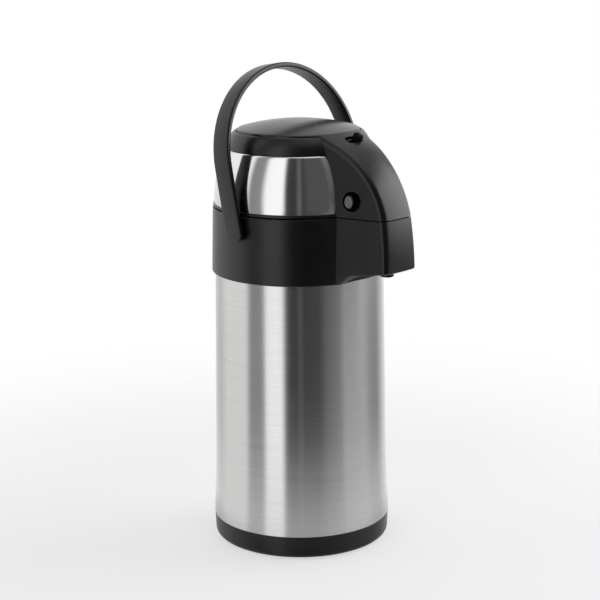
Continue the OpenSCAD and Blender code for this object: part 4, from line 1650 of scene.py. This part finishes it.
@dataclass
class Bellows:
    """What gives way inside the lid: the rubber bellows, its return spring and the release springs.

    Attributes:
        low: height of the bellows' fixed end, in millimetres as all its sizes.
        high: height of its end under the button.
        folds: number of its folds.
        valley_r: radius of its inner folds.
        fold_r: radius of its outer folds.
        wall: thickness of its wall.
        stroke: travel of the press button; not used.
        spring_low: height of the return spring's fixed end.
        spring: radius of the return spring's turns and of its wire.
        spring_turns: number of its turns.
        release_length: length of a release spring.
        release_deep: depth of its start behind the panel.
        release_stroke: travel of a release button; not used.
        release_spring: radius of a release spring's turns and of its wire.
        release_turns: number of its turns.
    """

    low: float = 312.7
    high: float = 368.4
    folds: int = 6
    valley_r: float = 31.0
    fold_r: float = 41.0
    wall: float = 1.6
    stroke: float = 20.0
    spring_low: float = 310.5
    spring: Point2 = (18.0, 1.1)
    spring_turns: int = 7
    release_length: float = 8.4
    release_deep: float = 9.0
    release_stroke: float = 3.0
    release_spring: Point2 = (3.6, 0.4)
    release_turns: int = 5

    def rubber(self) -> bpy.types.Object:
        """Turns the bellows, with rounded folds and a closed end."""
        fold = (self.high - self.low) / self.folds
        outside: list[Sequence[float]] = []
        for i in range(self.folds):
            base = self.low + i * fold
            outside += [(self.valley_r, base, 0.8 if i else 0.0), (self.fold_r, base + fold / 2, 1.4)]
        inside = [(r - self.wall, z, rounding) for r, z, rounding in reversed(outside)]
        end = [(self.valley_r, self.high, 0.6), (0.0, self.high), (0.0, self.high - self.wall),
               (self.valley_r - self.wall, self.high - self.wall)]
        return Bench.spun("bellows_folds", rounded([*outside, *end, *inside], 4), 96).done()

    def coil(self, name: str, size: Point2, length: float, turns: int, spot: Matrix) -> bpy.types.Object:
        """Winds a coil spring.

        Args:
            name: the piece's name.
            size: radius of its turns and of its wire.
            length: its length.
            turns: number of its turns.
            spot: the frame on whose origin it stands, in millimetres.

        Returns:
            The spring.
        """
        (radius, wire), sides, facets = size, 10, 28
        turned = [math.tau * i / sides for i in range(sides)]
        ring = [(radius + wire * math.cos(t), 0.0, wire + wire * math.sin(t)) for t in turned]
        bench = Bench.outline(name, ring, fill=False)
        apply_modifier(bench.piece, "SCREW", angle=math.tau, screw_offset=(length - 2 * wire) / turns * MM,
                       iterations=turns, steps=facets, render_steps=facets)
        bpy.ops.object.mode_set(mode="EDIT")
        bpy.ops.mesh.select_all(action="SELECT")
        bpy.ops.mesh.fill_holes(sides=0)
        bench.move(spot)
        return bench.done()

    def build(self) -> None:
        """Makes the bellows and the springs."""
        bellows = self.rubber()
        fit_out(bellows, "lid", "rubber", "bellows")
        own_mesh(bellows)
        length = self.high - self.wall - self.spring_low
        foot = Matrix.Translation((0, 0, self.spring_low))
        spring = self.coil("return_spring_coil", self.spring, length, self.spring_turns, foot)
        fit_out(spring, "lid", "zinc_steel", "return_spring")
        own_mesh(spring)
        length = self.release_length
        for side in Side:
            name = side.name.lower()
            spot = BEAK.release_spot(side) @ Matrix.Translation((0, 0, self.release_deep))
            spring = self.coil(f"release_spring_coil_{name}", self.release_spring, length,
                               self.release_turns, spot)
            fit_out(spring, "lid", "zinc_steel", f"release_spring_{name}")
            tuple(spot.to_3x3() @ Vector((0, 0, 1)))
            tuple(spot @ Vector((0, 0, length)) * MM)
            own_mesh(spring)


# Studio


@dataclass
class Studio:
    """Pale floor, soft light and camera, all turned to the photograph's viewing direction.

    Attributes:
        facing: azimuth of the camera seen from the pot, in degrees.
        eye: place of the camera.
        pitch: how far the camera looks down, in degrees.
        roll: its small roll, in degrees.
        lens: focal length in millimetres on the sensor's width.
        sensor: width of the sensor in millimetres.
        floor_r: radius of the floor that shows.
        floor_paint: colour of the floor.
        floor_white: share of plain white in the floor that the camera sees.
        floor_fade: shares of the floor's radius at which it has gone and from which it is whole.
        mirror_white: share of plain white in the floor that steel mirrors away from the pot.
        mirror_from: shares of the radius at which that white starts and is full.
        mirror_floor: share of the floor that steel mirrors near the pot.
        mirror_fade: shares of the radius at which that share has gone and from which it is full.
        low_room: radiance of the walls below the horizon by azimuth from the camera, positive to the right.
        high_room: radiance of the walls above the horizon, in the same way.
        brightest: radiance that the walls' colours are shares of.
        horizon: sines of the elevations between which the low room passes into the high one.
        ceiling: radiance of the ceiling at its left and at its right.
        ceiling_from: sines of the elevations where the ceiling starts and is full.
        ceiling_across: places across the room between which the ceiling passes from left to right.
        backdrop: places along the room where the white backdrop that steel mirrors starts and is full.
        backdrop_foot: sines of the elevations where that backdrop starts and is full.
        aim_z: height that the lamp looks at, in metres.
    """

    facing: float = -137.0
    eye: Point3 = (-1.10345, -1.02926, 0.5795)
    pitch: float = 13.43
    roll: float = -0.51
    lens: float = 102.72
    sensor: float = 36.0
    floor_r: float = 0.75
    floor_paint: Colour = (0.8, 0.8, 0.8)
    floor_white: float = 0.6
    floor_fade: Point2 = (0.98, 0.3)
    mirror_white: float = 0.95
    mirror_from: Point2 = (0.16, 0.23)
    mirror_floor: float = 0.6
    mirror_fade: Point2 = (0.67, 0.16)
    low_room: tuple[Point2, ...] = (
        (-180, 0.85), (-168, 0.85), (-150, 0.72), (-138, 0.66), (-126, 0.8), (-118, 0.94), (-79, 0.94),
        (-72, 0.34), (-51, 0.34), (-46, 1.3), (-25, 1.34), (-20, 0.06), (-4, 0.05), (0.5, 0.12), (5, 0.05),
        (26, 0.06), (36, 0.2), (56, 0.32), (62, 0.54), (95, 0.54), (110, 0.32), (126, 0.28), (142, 0.7),
        (160, 0.95), (180, 0.85))
    high_room: tuple[Point2, ...] = (
        (-180, 0.95), (-135, 0.95), (-125, 1.15), (-75, 1.15), (-69, 0.3), (-53, 0.34), (-45.5, 1.3),
        (-22, 1.36), (-17.5, 0.05), (-4, 0.05), (0.5, 0.2), (5, 0.05), (12, 0.1), (46, 0.1), (54, 0.16),
        (84, 0.2), (104, 0.4), (140, 0.5), (158, 0.95), (180, 0.95))
    brightest: float = 1.4
    horizon: Point2 = (-0.2, -0.15)
    ceiling: Point2 = (0.25, 1.25)
    ceiling_from: Point2 = (0.72, 0.94)
    ceiling_across: Point2 = (-0.5, 0.5)
    backdrop: Point2 = (-0.75, -0.92)
    backdrop_foot: Point2 = (-0.1, 0.0)
    aim_z: float = 0.25

    def camera(self) -> None:
        """Places the camera at the photograph's viewing angle."""
        data = bpy.data.cameras.new("photo_camera")
        data.sensor_width = self.sensor
        data.lens = self.lens
        camera = bpy.data.objects.new("photo_camera", data)
        bpy.context.scene.collection.objects.link(camera)
        turn = Matrix.Rotation(math.radians(self.facing + 90.0), 4, "Z")
        look = Matrix.Rotation(math.radians(90.0 - self.pitch), 4, "X")
        roll = Matrix.Rotation(math.radians(self.roll), 4, "Z")
        camera.matrix_world = Matrix.Translation(self.eye) @ turn @ look @ roll
        bpy.context.scene.camera = camera

    def floor(self) -> None:
        """Pale round floor that fades out into the white surround and keeps the pot's shadow."""
        bpy.ops.object.select_all(action="DESELECT")
        bpy.ops.mesh.primitive_circle_add(vertices=96, radius=self.floor_r, fill_type="NGON")
        floor = bpy.context.active_object
        floor.name = "floor"
        g = new_graph("pale_floor")
        place = g.node("TexCoord")["Object"]
        reach = g.node("VectorMath", {"operation": "LENGTH"}, {0: place})["Value"] / self.floor_r
        rays = g.node("LightPath")
        seen, mirrored = rays["Is Camera Ray"], rays["Is Glossy Ray"]
        paint = g.node("BsdfDiffuse", {}, {"Color": self.floor_paint})["BSDF"]
        white = g.node("Emission", {}, {"Color": (1, 1, 1), "Strength": 1.0})["Emission"]
        clear = g.node("BsdfTransparent", {}, {"Color": (1, 1, 1)})["BSDF"]
        plain = seen * self.floor_white + mirrored * reach.smooth(*self.mirror_from) * self.mirror_white
        lit = g.node("MixShader", {}, {0: plain, 1: paint, 2: white})["Shader"]
        wide = reach.smooth(*self.floor_fade)
        near = reach.smooth(*self.mirror_fade) * self.mirror_floor
        g.close(g.node("MixShader", {}, {0: wide + mirrored * (near - wide), 1: clear, 2: lit})["Shader"])
        floor.data.materials.append(g.owner)

    def surround(self) -> None:
        """Studio room round the pot: a pale backdrop behind it, a dim front and soft strips at the sides."""
        world = bpy.data.worlds.new("studio_room")
        bpy.context.scene.world = world
        g = Graph(world)
        aim = math.radians(self.facing)
        ahead = (math.cos(aim), math.sin(aim), 0.0)
        side = (-math.sin(aim), math.cos(aim), 0.0)
        ray = g.node("TexCoord")["Generated"]
        along, across = (g.node("VectorMath", {"operation": "DOT_PRODUCT"}, {0: ray, 1: axis})["Value"]
                         for axis in (ahead, side))
        turn = across.math("ARCTAN2", along) / math.tau + 0.5
        height = g.node("SeparateXYZ", {}, {"Vector": ray})["Z"]

        def grey(level: float) -> Colour:
            """A radiance as a share of the brightest wall."""
            return (level / self.brightest,) * 3

        def walls(room: tuple[Point2, ...]) -> Wire:
            """Colour of the walls by the ray's azimuth."""
            stops = [((angle + 180.0) / 360.0, grey(level)) for angle, level in room]
            return g.node("ValToRGB", {"stops": stops}, {"Fac": turn})["Color"]

        above = g.tint(across.smooth(*self.ceiling_across), *map(grey, self.ceiling))
        around = g.tint(height.smooth(*self.horizon), walls(self.low_room), walls(self.high_room))
        room = g.tint(height.smooth(*self.ceiling_from), around, above)
        rays = g.node("LightPath")
        behind = along.smooth(*self.backdrop) * height.smooth(*self.backdrop_foot)
        shown = rays["Is Camera Ray"].math("MAXIMUM", rays["Is Glossy Ray"] * behind)
        dim = g.node("Background", {}, {"Color": room, "Strength": self.brightest})["Background"]
        white = g.node("Background", {}, {"Color": (1, 1, 1), "Strength": 1.0})["Background"]
        g.close(g.node("MixShader", {}, {0: shown, 1: dim, 2: white})["Shader"])

    def lamp(self, name: str, turn: float, rise: float, far: float, size: Point2, level: float) -> None:
        """A soft box that looks at the pot.

        Args:
            name: its name.
            turn: azimuth from the camera's direction, in degrees, positive to the right.
            rise: elevation in degrees.
            far: distance in metres.
            size: width and height in metres.
            level: radiance of its face.
        """
        data = bpy.data.lights.new(name, "AREA")
        data.shape = "RECTANGLE"
        data.size, data.size_y = size
        data.energy = level * math.pi * size[0] * size[1]
        lamp = bpy.data.objects.new(name, data)
        bpy.context.scene.collection.objects.link(lamp)
        aim, up = math.radians(self.facing + turn), math.radians(rise)
        heading = Vector((math.cos(aim) * math.cos(up), math.sin(aim) * math.cos(up), math.sin(up)))
        lamp.matrix_world = (Matrix.Translation(heading * far + Vector((0, 0, self.aim_z)))
                             @ heading.to_track_quat("Z", "Y").to_matrix().to_4x4())
        lamp.visible_camera = False

    def build(self) -> None:
        """Sets up the whole studio."""
        bpy.context.scene.view_settings.view_transform = "Standard"
        self.camera()
        self.floor()
        self.surround()
        self.lamp("right_softbox", turn=104.0, rise=20.0, far=1.8, size=(1.5, 1.3), level=3.2)


def main() -> None:
    """Builds the studio and the pieces and dresses everything."""
    logging.basicConfig(level=logging.INFO, format="%(name)s: %(message)s")
    Studio().build()
    dress_cad_nodes()
    for assembly in (Vessel(), Collar(), CarryHandle(), Lid(), Pump(), Bellows()):
        assembly.build()


if __name__ == "__main__":
    main()
